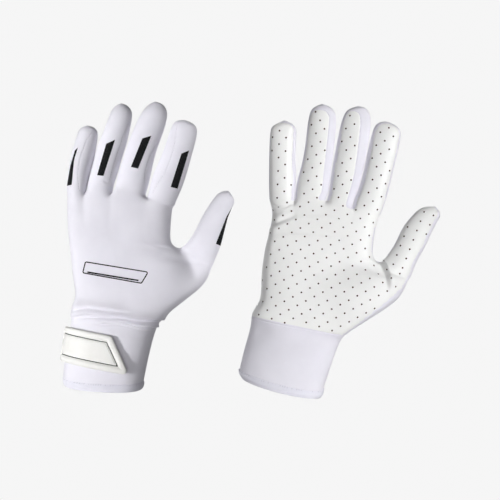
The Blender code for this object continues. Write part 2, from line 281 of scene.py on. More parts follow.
# How far a facing stays inside its finger's edges, in photo pixels: the little finger's side, the thumb's
# side at the root and at the tip, and the tip itself
facingInsets = {
    "little": {"left": 1.3, "right": (4.2, 3.4), "tip": 3.0},
    "ring": {"left": 1.9, "right": (7.4, 7.9), "tip": 7.0},
    "middle": {"left": 2.7, "right": (6.8, 12.2), "tip": 6.8},
    "index": {"left": 3.2, "right": (2.2, 2.7), "tip": 2.4},
    "thumb": {"left": 0.8, "right": (3.7, 3.4), "tip": 1.4},
}

# Half depths of the hand from its edge seam, at the wrist, the middle and the knuckles, in metres
handDepth = {
    "back": (0.0235, 0.0170, 0.0118),
    "palm": (0.0215, 0.0175, 0.0100),
    "power": {"back": 2.4, "palm": 3.6},
    "cuffPower": {"back": 2.4, "palm": 2.1},
    "mouth": {"back": 0.0250, "palm": 0.0240},
    "knuckleDip": 0.06,  # how far the gaps between fingers show in the hand
    "knuckleFade": 6,  # the power by which the fingers' roots show less further down
    "thumbBlend": (0.95, 0.40),  # where the hand starts to follow the thumb's root, sooner where it is deep
    "columnTurns": 4,  # how often the columns between two fingers are spread
}
stallShape = {
    "bodyShares": (0.0, 0.05, 0.11, 0.19, 0.29, 0.40, 0.52, 0.64, 0.76, 0.88, 1.0),  # of the straight part
    "tipAngles": (24.0, 44.0, 62.0, 77.0, 90.0),
    "tipLength": 0.0090,
    "depthStart": 0.0140,
    "depthBand": 0.001,  # how near a CAD point counts for a depth
    "rootSquare": 0.6,  # how full the fingers are beside the slits at their roots
    "webSides": {"little": (1,), "ring": (-1, 1), "middle": (-1, 1), "index": (-1,)},
    "ringSteps": 12,
    "curl": 0.0025,  # how far a fingertip leans towards the palm
    "fill": 1.045,  # the smoothing draws the skin in by about this much
}


def readStall(side, name):
    # a finger's axis and depth, taken from its joint and its CAD solids, and its edges from the photo
    joint = joints[f"{side}_{name}_flex"]
    face = gloveShapes[side]["face"]
    across = Vector(joint["axis"]) * face
    along = Vector((-across.z, 0.0, across.x))
    root = Vector((joint["pos_m"][0], 0.0, joint["pos_m"][2]))
    solid = []
    for node in (f"{side}_{name}_back", f"{side}_{name}_facing"):
        for vertex in frame["nodes"][node].data.vertices:
            solid.append(((vertex.co - root).dot(along), vertex.co.y * face))
    outline = fingerOutlines[f"{side}_{name}"]
    edges = {}
    for edge in ("left", "right"):
        steps = [fromPhoto(spot) - root for spot in outline[edge] + [outline["tip"]]]
        edges[edge] = ([step.dot(along) for step in steps], [step.dot(across) for step in steps])
    length = edges["left"][0][-1]
    dome = length - stallShape["tipLength"]
    solidLength = max(reach for reach, depth in solid)
    stations = (0.0, stallShape["depthStart"], solidLength - stallShape["tipLength"])

    def deepest(station, sign):
        return max(depth * sign for reach, depth in solid if abs(reach - station) < stallShape["depthBand"])

    return {
        "name": name,
        "face": face,
        "root": root,
        "along": along,
        "across": across,
        "length": length,
        "dome": dome,
        "edges": edges,
        "stations": stations,
        "back": [deepest(station, 1) for station in stations],
        "palm": [deepest(station, -1) for station in stations],
    }


def stallEdges(stall, reach):
    # the places of a finger's two edges across it, at a distance from its root
    return [np.interp(reach, *stall["edges"][edge]) for edge in ("left", "right")]


def stallPoint(stall, reach, angle):
    # a point of a finger's skin; angle 0 is its right side, 90 its back, 180 its left side
    left, right = stallEdges(stall, reach)
    bodyLeft, bodyRight = stallEdges(stall, stall["dome"])
    narrow = min(1.0, (right - left) / (bodyRight - bodyLeft)) if reach > stall["dome"] else 1.0
    turn = math.radians(angle)
    deep = np.interp(reach, stall["stations"], stall["back" if math.sin(turn) > 0 else "palm"])
    square = 1.0
    if math.copysign(1, math.cos(turn)) in stallShape["webSides"].get(stall["name"], ()):
        square -= stallShape["rootSquare"] * max(0.0, 1 - reach / stallShape["depthStart"])
    height = math.copysign(abs(math.sin(turn)) ** square, math.sin(turn))
    depth = height * deep * narrow * stallShape["fill"]
    depth -= stallShape["curl"] * max(0.0, reach / stall["length"]) ** 2
    sideways = (left + right) / 2 + (right - left) / 2 * stallShape["fill"] * math.cos(turn)
    flat = stall["root"] + stall["along"] * reach + stall["across"] * float(sideways)
    return Vector((flat.x, float(depth) * stall["face"], flat.z))


def stallReaches(stall):
    reaches = [share * stall["dome"] for share in stallShape["bodyShares"]]
    for angle in stallShape["tipAngles"]:
        reaches.append(stall["dome"] + math.sin(math.radians(angle)) * (stall["length"] - stall["dome"]))
    return reaches


def clearSelection():
    if bpy.context.object and bpy.context.object.mode != "OBJECT":
        bpy.ops.object.mode_set(mode="OBJECT")
    bpy.ops.object.select_all(action="DESELECT")


def makeActive(piece):
    clearSelection()
    piece.select_set(True)
    bpy.context.view_layer.objects.active = piece


def turnFacesOut():
    # every face of the active piece looks away from its inside
    bpy.ops.object.mode_set(mode="EDIT")
    bpy.ops.mesh.select_all(action="SELECT")
    bpy.ops.mesh.normals_make_consistent(inside=False)
    bpy.ops.object.mode_set(mode="OBJECT")


def tagMaterial(name):
    return bpy.data.materials.get(name) or bpy.data.materials.new(name)


def clothGrid(name, columns, rows, place, tagOf):
    # a grid primitive whose points are carried to place(column, row), tagged row by row
    clearSelection()
    bpy.ops.mesh.primitive_grid_add(x_subdivisions=columns, y_subdivisions=rows, size=1.0)
    grid = bpy.context.object
    grid.name = name
    mesh = grid.data
    tags = []
    for polygon in mesh.polygons:
        tag = tagMaterial(tagOf(int((polygon.center.y + 0.5) * rows)))
        if tag.name not in mesh.materials:
            mesh.materials.append(tag)
        tags.append(mesh.materials.find(tag.name))
    mesh.polygons.foreach_set("material_index", tags)
    for vertex in mesh.vertices:
        column = round((vertex.co.x + 0.5) * columns)
        row = round((vertex.co.y + 0.5) * rows)
        vertex.co = place(column, row)
    return grid


def smoothStep(value, low, high):
    share = np.clip((value - low) / (high - low), 0.0, 1.0)
    return share * share * (3 - 2 * share)


def bowed(ends, share):
    # a smooth curve through three numbers, at shares 0, 0.5 and 1
    start, middle, end = ends
    rest = 1 - share
    return start * rest * (1 - 2 * share) + middle * 4 * share * rest + end * share * (2 * share - 1)


def evened(values):
    # a run of numbers or points with each inner one drawn towards its neighbours
    threes = zip(values, values[1:], values[2:])
    return [values[0]] + [(before + 2 * here + after) / 4 for before, here, after in threes] + [values[-1]]


def layOutHand(side, stalls):
    # every point of the hand's back and palm sheets, row by row from the hem to the knuckles
    shape = gloveShapes[side]
    face = shape["face"]
    thumb = stalls[-1]
    steps = stallShape["ringSteps"] // 2
    backAngles = [180 - 180 * step / steps for step in range(steps + 1)]
    rims = {"back": [], "palm": []}
    for stall in stalls[:-1]:
        rims["back"] += [stallPoint(stall, 0.0, angle) for angle in backAngles]
        rims["palm"] += [stallPoint(stall, 0.0, -angle) for angle in backAngles]
    first, last = rims["back"][0], rims["back"][-1]
    chord = Vector((last.x - first.x, 0.0, last.z - first.z))
    shares = [(point - first).dot(chord) / chord.length_squared for point in rims["back"]]
    shares = [max(0.0, min(1.0, share)) for share in shares]
    evenShares = [0.0] + shares[1:-1] + [1.0]
    for turn in range(handDepth["columnTurns"]):
        evenShares = evened(evenShares)
    thumbRows = [number for number, row in enumerate(shape["rows"]) if row[0] == "thumb"]
    wristRow = max(number for number, row in enumerate(shape["rows"]) if row[0] == "cuff")
    ends = []
    for number, (zone, left, right) in enumerate(shape["rows"]):
        if zone == "knuckle":
            ends.append((Vector((first.x, 0.0, first.z)), Vector((last.x, 0.0, last.z)), None))
        elif zone == "thumb":
            angle = 180 * (number - thumbRows[0]) / (len(thumbRows) - 1)
            ends.append((fromPhoto(left), None, angle))
        else:
            ends.append((fromPhoto(left), fromPhoto(right), None))
    wristHeight = sum(end.z for end in ends[wristRow][:2]) / 2
    knuckleHeight = sum(end.z for end in ends[-1][:2]) / 2
    thumbStart, thumbEarlier = handDepth["thumbBlend"]
    sheets = {}
    for sheet, sign in (("back", 1), ("palm", -1)):
        points = []
        for number, (left, right, angle) in enumerate(ends):
            if number == len(ends) - 1:
                points.append(rims[sheet])
                continue
            edgeDepth = 0.0
            if angle is not None:
                corner = stallPoint(thumb, 0.0, sign * angle)
                right = Vector((corner.x, 0.0, corner.z))
                edgeDepth = corner.y * face * sign
            height = ((left.z + right.z) / 2 - wristHeight) / (knuckleHeight - wristHeight)
            if number <= wristRow:
                mouth = handDepth["mouth"][sheet]
                depth = mouth + (handDepth[sheet][0] - mouth) * number / wristRow
            else:
                depth = bowed(handDepth[sheet], max(0.0, min(1.0, height)))
            fade = max(0.0, height) ** handDepth["knuckleFade"]
            power = handDepth["cuffPower" if number <= wristRow else "power"][sheet]
            blendStart = thumbStart - thumbEarlier * min(1.0, edgeDepth / thumb[sheet][0])
            line = []
            for rimShare, share, rim in zip(shares, evenShares, rims[sheet]):
                straight = first + chord * rimShare
                bend = Vector((rim.x - straight.x, 0.0, rim.z - straight.z)) * fade
                if share in (0.0, 1.0):
                    bend = Vector((0.0, 0.0, 0.0))
                flat = left + (right - left) * share + bend
                lift = max(0.0, 1 - abs(2 * share - 1) ** power) ** (1 / power)
                weight = float(smoothStep(share, blendStart, 1.0)) if angle is not None else 0.0
                rise = depth * lift * (1 - weight) + edgeDepth * weight
                scallop = rim.y * face * sign
                if angle is None:
                    follow = 1.0 if scallop > rise else handDepth["knuckleDip"] * lift
                    rise += (scallop - rise) * follow * fade
                line.append(Vector((flat.x, rise * sign * face, flat.z)))
            points.append(line)
        sheets[sheet] = points
    return sheets


liningShape = {"wall": 0.0012, "rows": 10}
weldReach = 0.000005
leastSize = 1e-6  # stands in for nought where a size is divided by


def makeCage(side, stalls):
    # the coarse skin: two sheets for hand and cuff, a tube for each finger and a lining in the mouth
    sheets = layOutHand(side, stalls)
    zones = [row[0] if row[0] in ("hem", "cuff") else "hand" for row in gloveShapes[side]["rows"]]
    columns = len(sheets["back"][0]) - 1
    grids = []
    for sheet, points in sheets.items():
        grids.append(clothGrid(
            f"{side}_{sheet}", columns, len(points) - 1,
            lambda column, row: points[row][column],
            lambda row: f"{side}_{zones[row]}",
        ))
    for stall in stalls:
        reaches = stallReaches(stall)
        steps = stallShape["ringSteps"]

        def stallPlaceAt(column, row):
            return stallPoint(stall, reaches[row], 360 * (column % steps) / steps)

        tag = f"{side}_{stall['name']}"
        grids.append(clothGrid(tag, steps, len(reaches) - 1, stallPlaceAt, lambda row: tag))
    middles = []
    for back, palm in zip(sheets["back"], sheets["palm"]):
        middles.append(sum(back + palm, Vector()) / (2 * len(back)))
    for sheet, points in sheets.items():

        def liningPoint(column, row):
            outer = points[max(0, row - 1)][column]
            if row == 0:
                return outer
            return outer + (middles[row - 1] - outer).normalized() * liningShape["wall"]

        name, rows = f"{side}_{sheet}_lining", liningShape["rows"]
        grids.append(clothGrid(name, columns, rows, liningPoint, lambda row: f"{side}_lining"))
    skin = grids[0]
    makeActive(skin)
    for grid in grids:
        grid.select_set(True)
    bpy.ops.object.join()
    skin.name = f"{side}_skin"
    bpy.ops.object.mode_set(mode="EDIT")
    bpy.ops.mesh.select_all(action="SELECT")
    bpy.ops.mesh.remove_doubles(threshold=weldReach)
    bpy.ops.object.mode_set(mode="OBJECT")
    turnFacesOut()
    return skin


def applySubdivision(skin, levels):
    makeActive(skin)
    smooth = skin.modifiers.new("smooth", "SUBSURF")
    smooth.levels = levels
    smooth.render_levels = levels
    bpy.ops.object.modifier_apply(modifier=smooth.name)


def readPoints(mesh):
    points = np.empty(len(mesh.vertices) * 3)
    mesh.vertices.foreach_get("co", points)
    return points.reshape(-1, 3)


def readNormals(mesh):
    normals = np.empty(len(mesh.vertices) * 3)
    mesh.vertex_normals.foreach_get("vector", normals)
    return normals.reshape(-1, 3)


def writePoints(mesh, points):
    mesh.vertices.foreach_set("co", points.reshape(-1))
    mesh.update()


def inStall(stall, points):
    # distances of an array of points along and across a finger, and depths towards its back
    step = points - np.array(stall["root"])
    return step @ np.array(stall["along"]), step @ np.array(stall["across"]), points[:, 1] * stall["face"]


def asideOf(stall, reach, across):
    # where a place lies between a finger's edges: -1 on the left one, 1 on the right one
    left, right = stallEdges(stall, reach)
    return (2 * across - left - right) / np.maximum(right - left, leastSize)


def facesByTag(mesh, tag):
    slot = mesh.materials.find(tag)
    return [polygon for polygon in mesh.polygons if polygon.material_index == slot]


def pointsByTag(mesh, *tags):
    # which points of the skin the faces with these tags have
    found = np.zeros(len(mesh.vertices), dtype=bool)
    for tag in tags:
        for polygon in facesByTag(mesh, tag):
            found[list(polygon.vertices)] = True
    return found


# Places where thumb and hand run into each other: middle and reach, in photo pixels
easing = {
    "left": [((197.0, 262.0), 24.0)],
    "right": [((397.0, 276.0), 24.0), ((372.0, 271.0), 22.0)],
    "knuckleReach": (10.0, 15.0),  # above and below each finger's root
    "sidePower": 4,  # how sharply the easing of a finger's root ends at its sides
    "turns": 24,
    "factor": 0.5,
    "least": 0.01,
}


def easeDepth(side, skin):
    # rubs out the creases where the thumb and the fingers leave the hand, without moving the outline
    group = skin.vertex_groups.new(name="ease")
    points = readPoints(skin.data)
    spots = pixels(points)
    weight = np.zeros(len(points))
    for middle, reach in easing[side]:
        away = np.linalg.norm(spots - np.array(middle), axis=1)
        weight = np.maximum(weight, np.exp(-((away / reach) ** 2)))
    above, below = [size * photo["metresPerPixel"] for size in easing["knuckleReach"]]
    for stall in stallSets[side][:-1]:
        reach, across, depth = inStall(stall, points)
        aside = np.abs(asideOf(stall, reach, across))
        near = np.exp(-((reach / np.where(reach > 0, above, below)) ** 2))
        weight = np.maximum(weight, near * np.clip(1 - aside ** easing["sidePower"], 0.0, 1.0))
    for number, share in enumerate(weight):
        if share > easing["least"]:
            group.add([number], float(share), "REPLACE")
    rub = skin.modifiers.new("ease", "SMOOTH")
    rub.factor = easing["factor"]
    rub.iterations = easing["turns"]
    rub.use_x = False
    rub.use_z = False
    rub.vertex_group = group.name
    makeActive(skin)
    bpy.ops.object.modifier_apply(modifier=rub.name)
    skin.vertex_groups.clear()


skinLevels = 3
skins = {}
stallSets = {}
for side in ("left", "right"):
    stallSets[side] = [readStall(side, name) for name in fingerNames]
    skins[side] = makeCage(side, stallSets[side])
    applySubdivision(skins[side], 1)
    easeDepth(side, skins[side])
    applySubdivision(skins[side], skinLevels - 1)
    skins[side].data.shade_smooth()
    print(f"{side} skin", len(skins[side].data.polygons), "faces")

# Soft forms of the hand: their middle and reach in photo pixels and their height in millimetres
softForms = {
    "left": {
        "back": [
            ((195, 262), (17, 20), -8), ((155, 213), (13, 12), 0.9), ((127, 206), (15, 12), 0.9),
            ((100, 206), (13, 12), 0.6), ((140, 222), (16, 14), 0.7),
        ],
        "palm": [((166, 286), (26, 22), 3.5), ((96, 270), (18, 32), 1.8), ((130, 245), (24, 20), -2.6)],
    },
    "right": {
        "back": [
            ((376, 270), (13, 16), -4), ((360, 224), (13, 12), 0.9), ((332, 214), (14, 12), 0.9),
            ((304, 214), (13, 12), 0.7),
        ],
        "palm": [
            ((357, 299), (28, 21), 3), ((284, 292), (20, 30), 1), ((336, 268), (28, 13), -2.2),
            ((259, 331), (11, 8), -1.5), ((379, 266), (6, 9), -2), ((394, 267), (13, 9), 1.7),
            ((274, 356), (17, 8), -1), ((300, 347), (17, 7), -0.7),
        ],
    },
}

# Creases: a line in photo pixels, its half width in pixels and its height in millimetres
creaseLines = {
    "left": {
        "back": [
            ([(174, 240), (180, 248), (188, 259), (194, 271), (198, 284)], 5, -1.8),
            ([(104, 181), (108.5, 183), (111.5, 182)], 1.6, -0.6),
            ([(169, 236), (172.5, 234), (176, 235)], 1.5, -0.7),
        ],
        "palm": [
            ([(72, 226), (96, 215), (124, 213), (150, 219), (168, 216)], 1.5, 0.35),
            ([(72, 238), (104, 232), (140, 232), (167, 228)], 1.5, 0.35),
            ([(180, 249), (182, 260), (181, 272)], 3, -2.2),
        ],
    },
    "right": {
        "palm": [
            ([(288, 219.8), (297.3, 218.4), (315.7, 217.5), (332, 218.6),
              (345, 226.2), (361.6, 224), (377, 214.5)], 1.3, 0.75),
            ([(268, 238.5), (288.2, 235), (306.5, 235.4), (337, 238.3), (370, 235)], 1.3, 0.7),
            ([(258, 228.5), (273, 223.4), (290, 217.2), (300, 212.5)], 2.6, -1.9),
            ([(264, 231.5), (275, 228), (291, 222)], 3, 0.9),
            ([(266, 213), (275, 213.4), (284, 211.4)], 2.6, -1.2),
            ([(268, 203), (276, 206.9), (284, 207.6), (294, 203)], 1.2, -0.9),
            ([(275, 180), (280, 177), (284, 178)], 2, -0.5),
            ([(338, 346), (324, 358), (308, 366)], 3.4, -0.6),
        ],
        "back": [
            ([(370, 246), (374, 249), (380, 251)], 1.5, -0.7),
        ],
    },
}

# Folds of cloth that hang over: a line from left to right, its reach above and below, height and softness
rollLines = {
    "left": {
        "back": [
            ([(71, 311), (77, 308.8), (81, 307.4), (91, 306.2), (104, 308),
              (120, 310), (136, 311.5)], 7, 3, 1.9, 1.1),
            ([(68, 317), (90, 313.8), (111, 314.8), (125, 316.5), (137.5, 317.9),
              (168, 319.2), (196, 320.4)], 5.5, 3, 3, 1.1),
            ([(92, 321.5), (120, 320.6), (131, 322.6), (142.5, 326), (164, 327.4),
              (190, 329)], 4, 4, 2.3, 1.1),
        ],
        "palm": [
            ([(68, 317), (96, 321), (130, 324), (164, 322), (190, 321)], 5, 3, 0.7, 1.1),
        ],
    },
    "right": {
        "back": [
            ([(248, 306), (280, 308), (312, 315), (345, 327), (372, 337)], 7, 3, 0.9, 1.1),
            ([(247, 314), (280, 316), (312, 323), (350, 336), (376, 346)], 5.5, 3, 1.4, 1.1),
        ],
        "palm": [
            ([(377, 246), (381, 260), (385.6, 272), (388.4, 287), (389.4, 293)], 9, 7, 3.4, 2.6),
        ],
    },
}

# Over which shares of a line it comes in and dies away, over which depths a form of one side fades in, and
# how far the cloth under a fold is drawn in
formFades = {"crease": (0.3, 0.4), "roll": (0.16, 0.28), "depth": (-0.001, 0.004), "tuck": 0.45}
mouthTilt = {"lean": 0.17, "drop": 0.0022, "fadeStart": 0.045}  # the front of each cuff mouth hangs lower
hemStep = {"rise": 0.00095, "groove": 0.00110, "reach": 0.0030}


def lineReach(spots, line):
    # how far each spot is below a line of straight runs, and how far along the line that is, from 0 to 1
    best = np.full(len(spots), 1e9)
    along = np.zeros(len(spots))
    below = np.ones(len(spots))
    runs = [math.dist(start, end) for start, end in zip(line, line[1:])]
    passed = 0.0
    for start, end, run in zip(line, line[1:], runs):
        step = np.array(end) - np.array(start)
        offset = spots - np.array(start)
        share = np.clip((offset @ step) / (run * run), 0.0, 1.0)
        away = np.linalg.norm(offset - share[:, None] * step, axis=1)
        nearer = away < best
        best[nearer] = away[nearer]
        along[nearer] = (passed + share[nearer] * run) / sum(runs)
        below[nearer] = np.sign(step[0] * offset[:, 1] - step[1] * offset[:, 0])[nearer]
        passed += run
    return best * below, along


def lineEnds(along, fades):
    return smoothStep(along, 0.0, fades[0]) * smoothStep(1 - along, 0.0, fades[1])


def shapeSkin(side, skin):
    # works the soft forms, the creases, the folds and the hem into the smooth skin
    mesh = skin.data
    face = gloveShapes[side]["face"]
    points = readPoints(mesh)
    normals = readNormals(mesh)
    spots = pixels(points)
    depth = points[:, 1] * face
    for sheet, sign in (("back", 1), ("palm", -1)):
        here = smoothStep(depth * sign, *formFades["depth"])
        for middle, reach, rise in softForms[side][sheet]:
            offset = (spots - np.array(middle)) / np.array(reach)
            weight = np.exp(-(offset**2).sum(axis=1)) * here
            points[:, 1] += face * sign * rise / 1000 * weight
        for line, width, rise in creaseLines[side].get(sheet, []):
            away, along = lineReach(spots, line)
            weight = np.exp(-((away / width) ** 2)) * lineEnds(along, formFades["crease"]) * here
            points += normals * (rise / 1000 * weight)[:, None]
        for line, above, below, rise, soft in rollLines[side].get(sheet, []):
            away, along = lineReach(spots, line)
            hang = np.exp(-((away / above) ** 2))
            tuck = -formFades["tuck"] * np.exp(-((away / below) ** 2))
            share = smoothStep(away, -soft, soft)
            weight = (hang * (1 - share) + tuck * share) * lineEnds(along, formFades["roll"]) * here
            points += normals * (rise / 1000 * weight)[:, None]
    shapeHem(side, mesh, points)
    low = 1 - smoothStep(points[:, 2], 0.0, mouthTilt["fadeStart"])
    points[:, 2] += low * (mouthTilt["lean"] * points[:, 1] - mouthTilt["drop"])
    writePoints(mesh, points)


def shapeHem(side, mesh, points):
    # a doubled band at the mouth, a little proud of the cuff and drawn in along its seam
    along = Vector(joints[f"{side}_strap_open"]["axis"]) * gloveShapes[side]["face"]
    hem = pointsByTag(mesh, f"{side}_hem")
    seam = hem & pointsByTag(mesh, f"{side}_cuff")
    seamHeight = (points[seam] @ np.array(along)).mean()
    away = np.abs(points @ np.array(along) - seamHeight)
    middle = points[seam].mean(axis=0)
    outward = (points - middle) * np.array([1.0, 1.0, 0.0])
    outward /= np.maximum(np.linalg.norm(outward, axis=1), leastSize)[:, None]
    proud = hemStep["rise"] * (1 - smoothStep(away, hemStep["reach"], hemStep["reach"] * 2)) * hem
    proud[seam] = -hemStep["groove"]
    points += outward * proud[:, None]


# The synthetic palm's edge in the photo, from the little finger's side of the wrist and round the thumb
palmPanels = {
    "left": [
        (62, 318), (90, 322), (130, 324.5), (158, 322.5), (163, 316.5), (178, 302), (203, 281),
        (208.5, 272), (209.5, 263.5), (184, 243), (176, 243), (169.6, 242), (168.4, 231), (169, 217),
        (171, 204), (148, 200), (114.5, 195), (87.5, 192.5), (58, 191),
    ],
    "right": [
        (244, 315), (265.2, 320.4), (291, 325.7), (321.8, 331), (335.6, 333.4), (340.5, 334.2),
        (346.3, 330.3), (377, 307.3), (393.8, 293.6), (401, 284.4), (405, 277), (387, 256), (381, 258),
        (374, 257), (370.6, 251), (370.6, 243.7), (373.4, 228.4), (378.6, 213), (384, 199), (352, 210),
        (326.5, 200.5), (295, 201), (258, 204),
    ],
}
panelBlend = 0.0030  # how softly the facings run into the palm, in metres
panelDepth = 0.0006  # how far on the palm's side of the edge the synthetic starts
facingCorner = 0.80  # a facing's corner radius, as a share of its half width
facingFoot = 0.012  # how far a facing runs into the palm


def polygonDistance(spots, corners):
    # signed distance to a closed outline, negative inside
    best = np.full(len(spots), 1e9)
    inside = np.zeros(len(spots), dtype=bool)
    for start, end in zip(corners, corners[1:] + corners[:1]):
        away, along = lineReach(spots, [start, end])
        best = np.minimum(best, np.abs(away))
        crosses = (start[1] > spots[:, 1]) != (end[1] > spots[:, 1])
        rise = end[1] - start[1] or 1e-9
        inside ^= crosses & (spots[:, 0] < (end[0] - start[0]) * (spots[:, 1] - start[1]) / rise + start[0])
    return np.where(inside, -best, best)


def facingDistance(stall, points):
    # signed distance to a finger's facing as it is seen from the front
    reach, across, depth = inStall(stall, points)
    insets = facingInsets[stall["name"]]
    pixel = photo["metresPerPixel"]
    left, right = stallEdges(stall, np.minimum(reach, stall["dome"]))
    rootInset, tipInset = insets["right"]
    share = np.clip(reach / stall["length"], 0.0, 1.0)
    left = left + insets["left"] * pixel
    right = right - (rootInset + (tipInset - rootInset) * share) * pixel
    wide = (right - left) / 2
    corner = wide * facingCorner
    aside = np.abs(across - (left + right) / 2) - (wide - corner)
    above = reach - (stall["length"] - insets["tip"] * pixel - corner)
    outside = np.hypot(np.maximum(aside, 0), np.maximum(above, 0))
    box = outside + np.minimum(np.maximum(aside, above), 0) - corner
    return np.maximum(box, -facingFoot - reach)


def blendLower(first, second, reach):
    # the lower of two distances, rounded where they meet
    share = np.clip(0.5 + 0.5 * (second - first) / reach, 0.0, 1.0)
    return second + (first - second) * share - reach * share * (1 - share)


def syntheticDistance(side, points):
    # negative on the synthetic palm and facings, positive on the knit
    distance = polygonDistance(pixels(points), palmPanels[side]) * photo["metresPerPixel"]
    for stall in stallSets[side]:
        distance = blendLower(distance, facingDistance(stall, points), panelBlend)
    depth = points[:, 1] * gloveShapes[side]["face"]
    return np.maximum(distance, depth + panelDepth)


snapShare = 0.18  # a cut this near to a point moves the point, as a share of the edge


def cutAlong(mesh, distance, active):
    # cuts new edges into the skin where distance is nought, and gives the points on that line
    cut = bmesh.new()
    cut.from_mesh(mesh)
    value = {vertex: distance[vertex.index] if active[vertex.index] else None for vertex in cut.verts}

    def crossing(edge):
        # the share of an edge where the line crosses it
        start, end = [value[vertex] for vertex in edge.verts]
        if start is None or end is None or start * end >= 0:
            return None
        return start / (start - end)

    for edge in cut.edges:
        share = crossing(edge)
        if share is None or snapShare < share < 1 - snapShare:
            continue
        first, second = edge.verts
        spot = first.co.lerp(second.co, share)
        near = first if share <= snapShare else second
        near.co = spot
        value[near] = 0.0
    for edge in list(cut.edges):
        share = crossing(edge)
        if share is not None:
            made = bmesh.utils.edge_split(edge, edge.verts[0], share)[1]
            value[made] = 0.0
    for polygon in list(cut.faces):
        onLine = [vertex for vertex in polygon.verts if value[vertex] == 0.0]
        if len(onLine) != 2:
            continue
        if any(edge.other_vert(onLine[0]) is onLine[1] for edge in onLine[0].link_edges):
            continue
        bmesh.utils.face_split(polygon, onLine[0], onLine[1])
    cut.verts.index_update()
    line = [vertex.index for vertex in cut.verts if value[vertex] == 0.0]
    cut.to_mesh(mesh)
    cut.free()
    mesh.update()
    return line


# How deep the seams are drawn in, and how far past the edge a gusset seam may run
seamLines = {"facingDepth": 0.00055, "gussetDepth": 0.00050, "gussetEdge": 0.0005}
# The sewn lines along the fingers' sides, on the left glove's back in the photo
gussetSeams = {
    "little": [
        (83.5, 195), (80.4, 189), (79.6, 178), (80.2, 165), (82.2, 155), (87, 142.5), (92.6, 132.5),
    ],
    "ring": [
        (110.2, 184), (112, 176.3), (115.1, 165), (118.9, 152.5), (123.2, 138.8), (126, 131.3),
        (130.2, 121.3),
    ],
    "middle": [
        (146.4, 187), (145.4, 180), (146.4, 170), (148.3, 163.8), (151.5, 155), (155.4, 147.5),
        (160.6, 138.5),
    ],
    "index": [
        (153, 193), (157.5, 184), (161.4, 178.8), (166.4, 171.3), (170.1, 162.5), (173.2, 152.5),
        (175.7, 140), (177, 130), (178.4, 122.5),
    ],
    "thumb": [(190, 243), (196.6, 232), (202.6, 219.5), (209.6, 207.5), (217, 196.5)],
}


def gussetShares():
    # the same lines as shares of each finger's length and half width
    found = {}
    for stall in stallSets["left"]:
        steps = [fromPhoto(spot) - stall["root"] for spot in gussetSeams[stall["name"]]]
        reaches = np.array([step.dot(stall["along"]) for step in steps])
        asides = asideOf(stall, reaches, np.array([step.dot(stall["across"]) for step in steps]))
        found[stall["name"]] = (reaches / stall["length"], asides)
    return found


def cutSeams(side, skin):
    # sews the facings and the finger gussets: real edges along each seam, drawn in a little
    mesh = skin.data
    outside = ~pointsByTag(mesh, f"{side}_lining", f"{side}_hem")
    facingSeam = cutAlong(mesh, syntheticDistance(side, readPoints(mesh)), outside)
    points = readPoints(mesh)
    offset = np.zeros(len(points))
    active = np.zeros(len(points), dtype=bool)
    shares = gussetShares()
    for stall in stallSets[side]:
        reach, across, depth = inStall(stall, points)
        reaches, asides = shares[stall["name"]]
        part = reach / stall["length"]
        onStall = pointsByTag(mesh, f"{side}_{stall['name']}") & (depth > -seamLines["gussetEdge"])
        onStall &= (part > reaches[0]) & (part < reaches[-1])
        offset[onStall] = (asideOf(stall, reach, across) - np.interp(part, reaches, asides))[onStall]
        active |= onStall
    gussetSeam = cutAlong(mesh, offset, active)
    seams = [(facingSeam, seamLines["facingDepth"]), (gussetSeam, seamLines["gussetDepth"])]
    points = readPoints(mesh)
    normals = readNormals(mesh)
    for line, depth in seams:
        points[line] -= normals[line] * depth
    writePoints(mesh, points)
    distance = syntheticDistance(side, points)
    for name in ("hand",) + fingerNames:
        slot = mesh.materials.find(f"{side}_{name}")
        mesh.materials.append(tagMaterial(f"{side}_{name}_synthetic"))
        for polygon in mesh.polygons:
            if polygon.material_index == slot and distance[list(polygon.vertices)].mean() < 0:
                polygon.material_index = len(mesh.materials) - 1
    return seams


seamSets = {}
for side in ("left", "right"):
    shapeSkin(side, skins[side])
    seamSets[side] = cutSeams(side, skins[side])
    print(f"{side} seams", [len(line) for line, depth in seamSets[side]], "points")


class SkinTouch:
    # where the pieces that lie on the skin are set down
    offSkin = 0.004  # the depth from which a line of sight that misses looks for the nearest skin

    def __init__(self, side, skin):
        mesh = skin.data
        self.face = gloveShapes[side]["face"]
        faces = [list(polygon.vertices) for polygon in mesh.polygons]
        self.tree = BVHTree.FromPolygons(readPoints(mesh).tolist(), faces)
        self.tags = [mesh.materials[polygon.material_index].name for polygon in mesh.polygons]

    def zone(self, number):
        # which finger, or the hand, a face of the skin belongs to
        word = self.tags[number].split("_")[1]
        return word if word in fingerNames else "hand"

    def fromSide(self, spot, sign):
        # the skin met by a line of sight through a spot of the picture, on the back (1) or the palm (-1)
        middle = fromPhoto(photo["middle"])
        start = Vector((middle.x, self.face * sign * cameraAway, middle.z))
        point, normal, number, away = self.tree.ray_cast(start, (spot - start).normalized())
        if point is None:
            return self.nearest(Vector((spot.x, self.face * sign * self.offSkin, spot.z)))
        return point, normal, number

    def nearest(self, spot):
        return self.tree.find_nearest(spot)[:3]


def moveWith(piece, zone):
    # cloth of a finger has its place baked into its points, all else on the skin rides on the hands
    if zone in fingerNames:
        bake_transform(piece)
    else:
        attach(piece, "hands")


def newPiece(name, corners, faces, material):
    mesh = bpy.data.meshes.new(name)
    mesh.from_pydata([tuple(corner) for corner in corners], [], faces)
    mesh.materials.append(material)
    mesh.shade_smooth()
    piece = bpy.data.objects.new(name, mesh)
    bpy.context.scene.collection.objects.link(piece)
    return piece


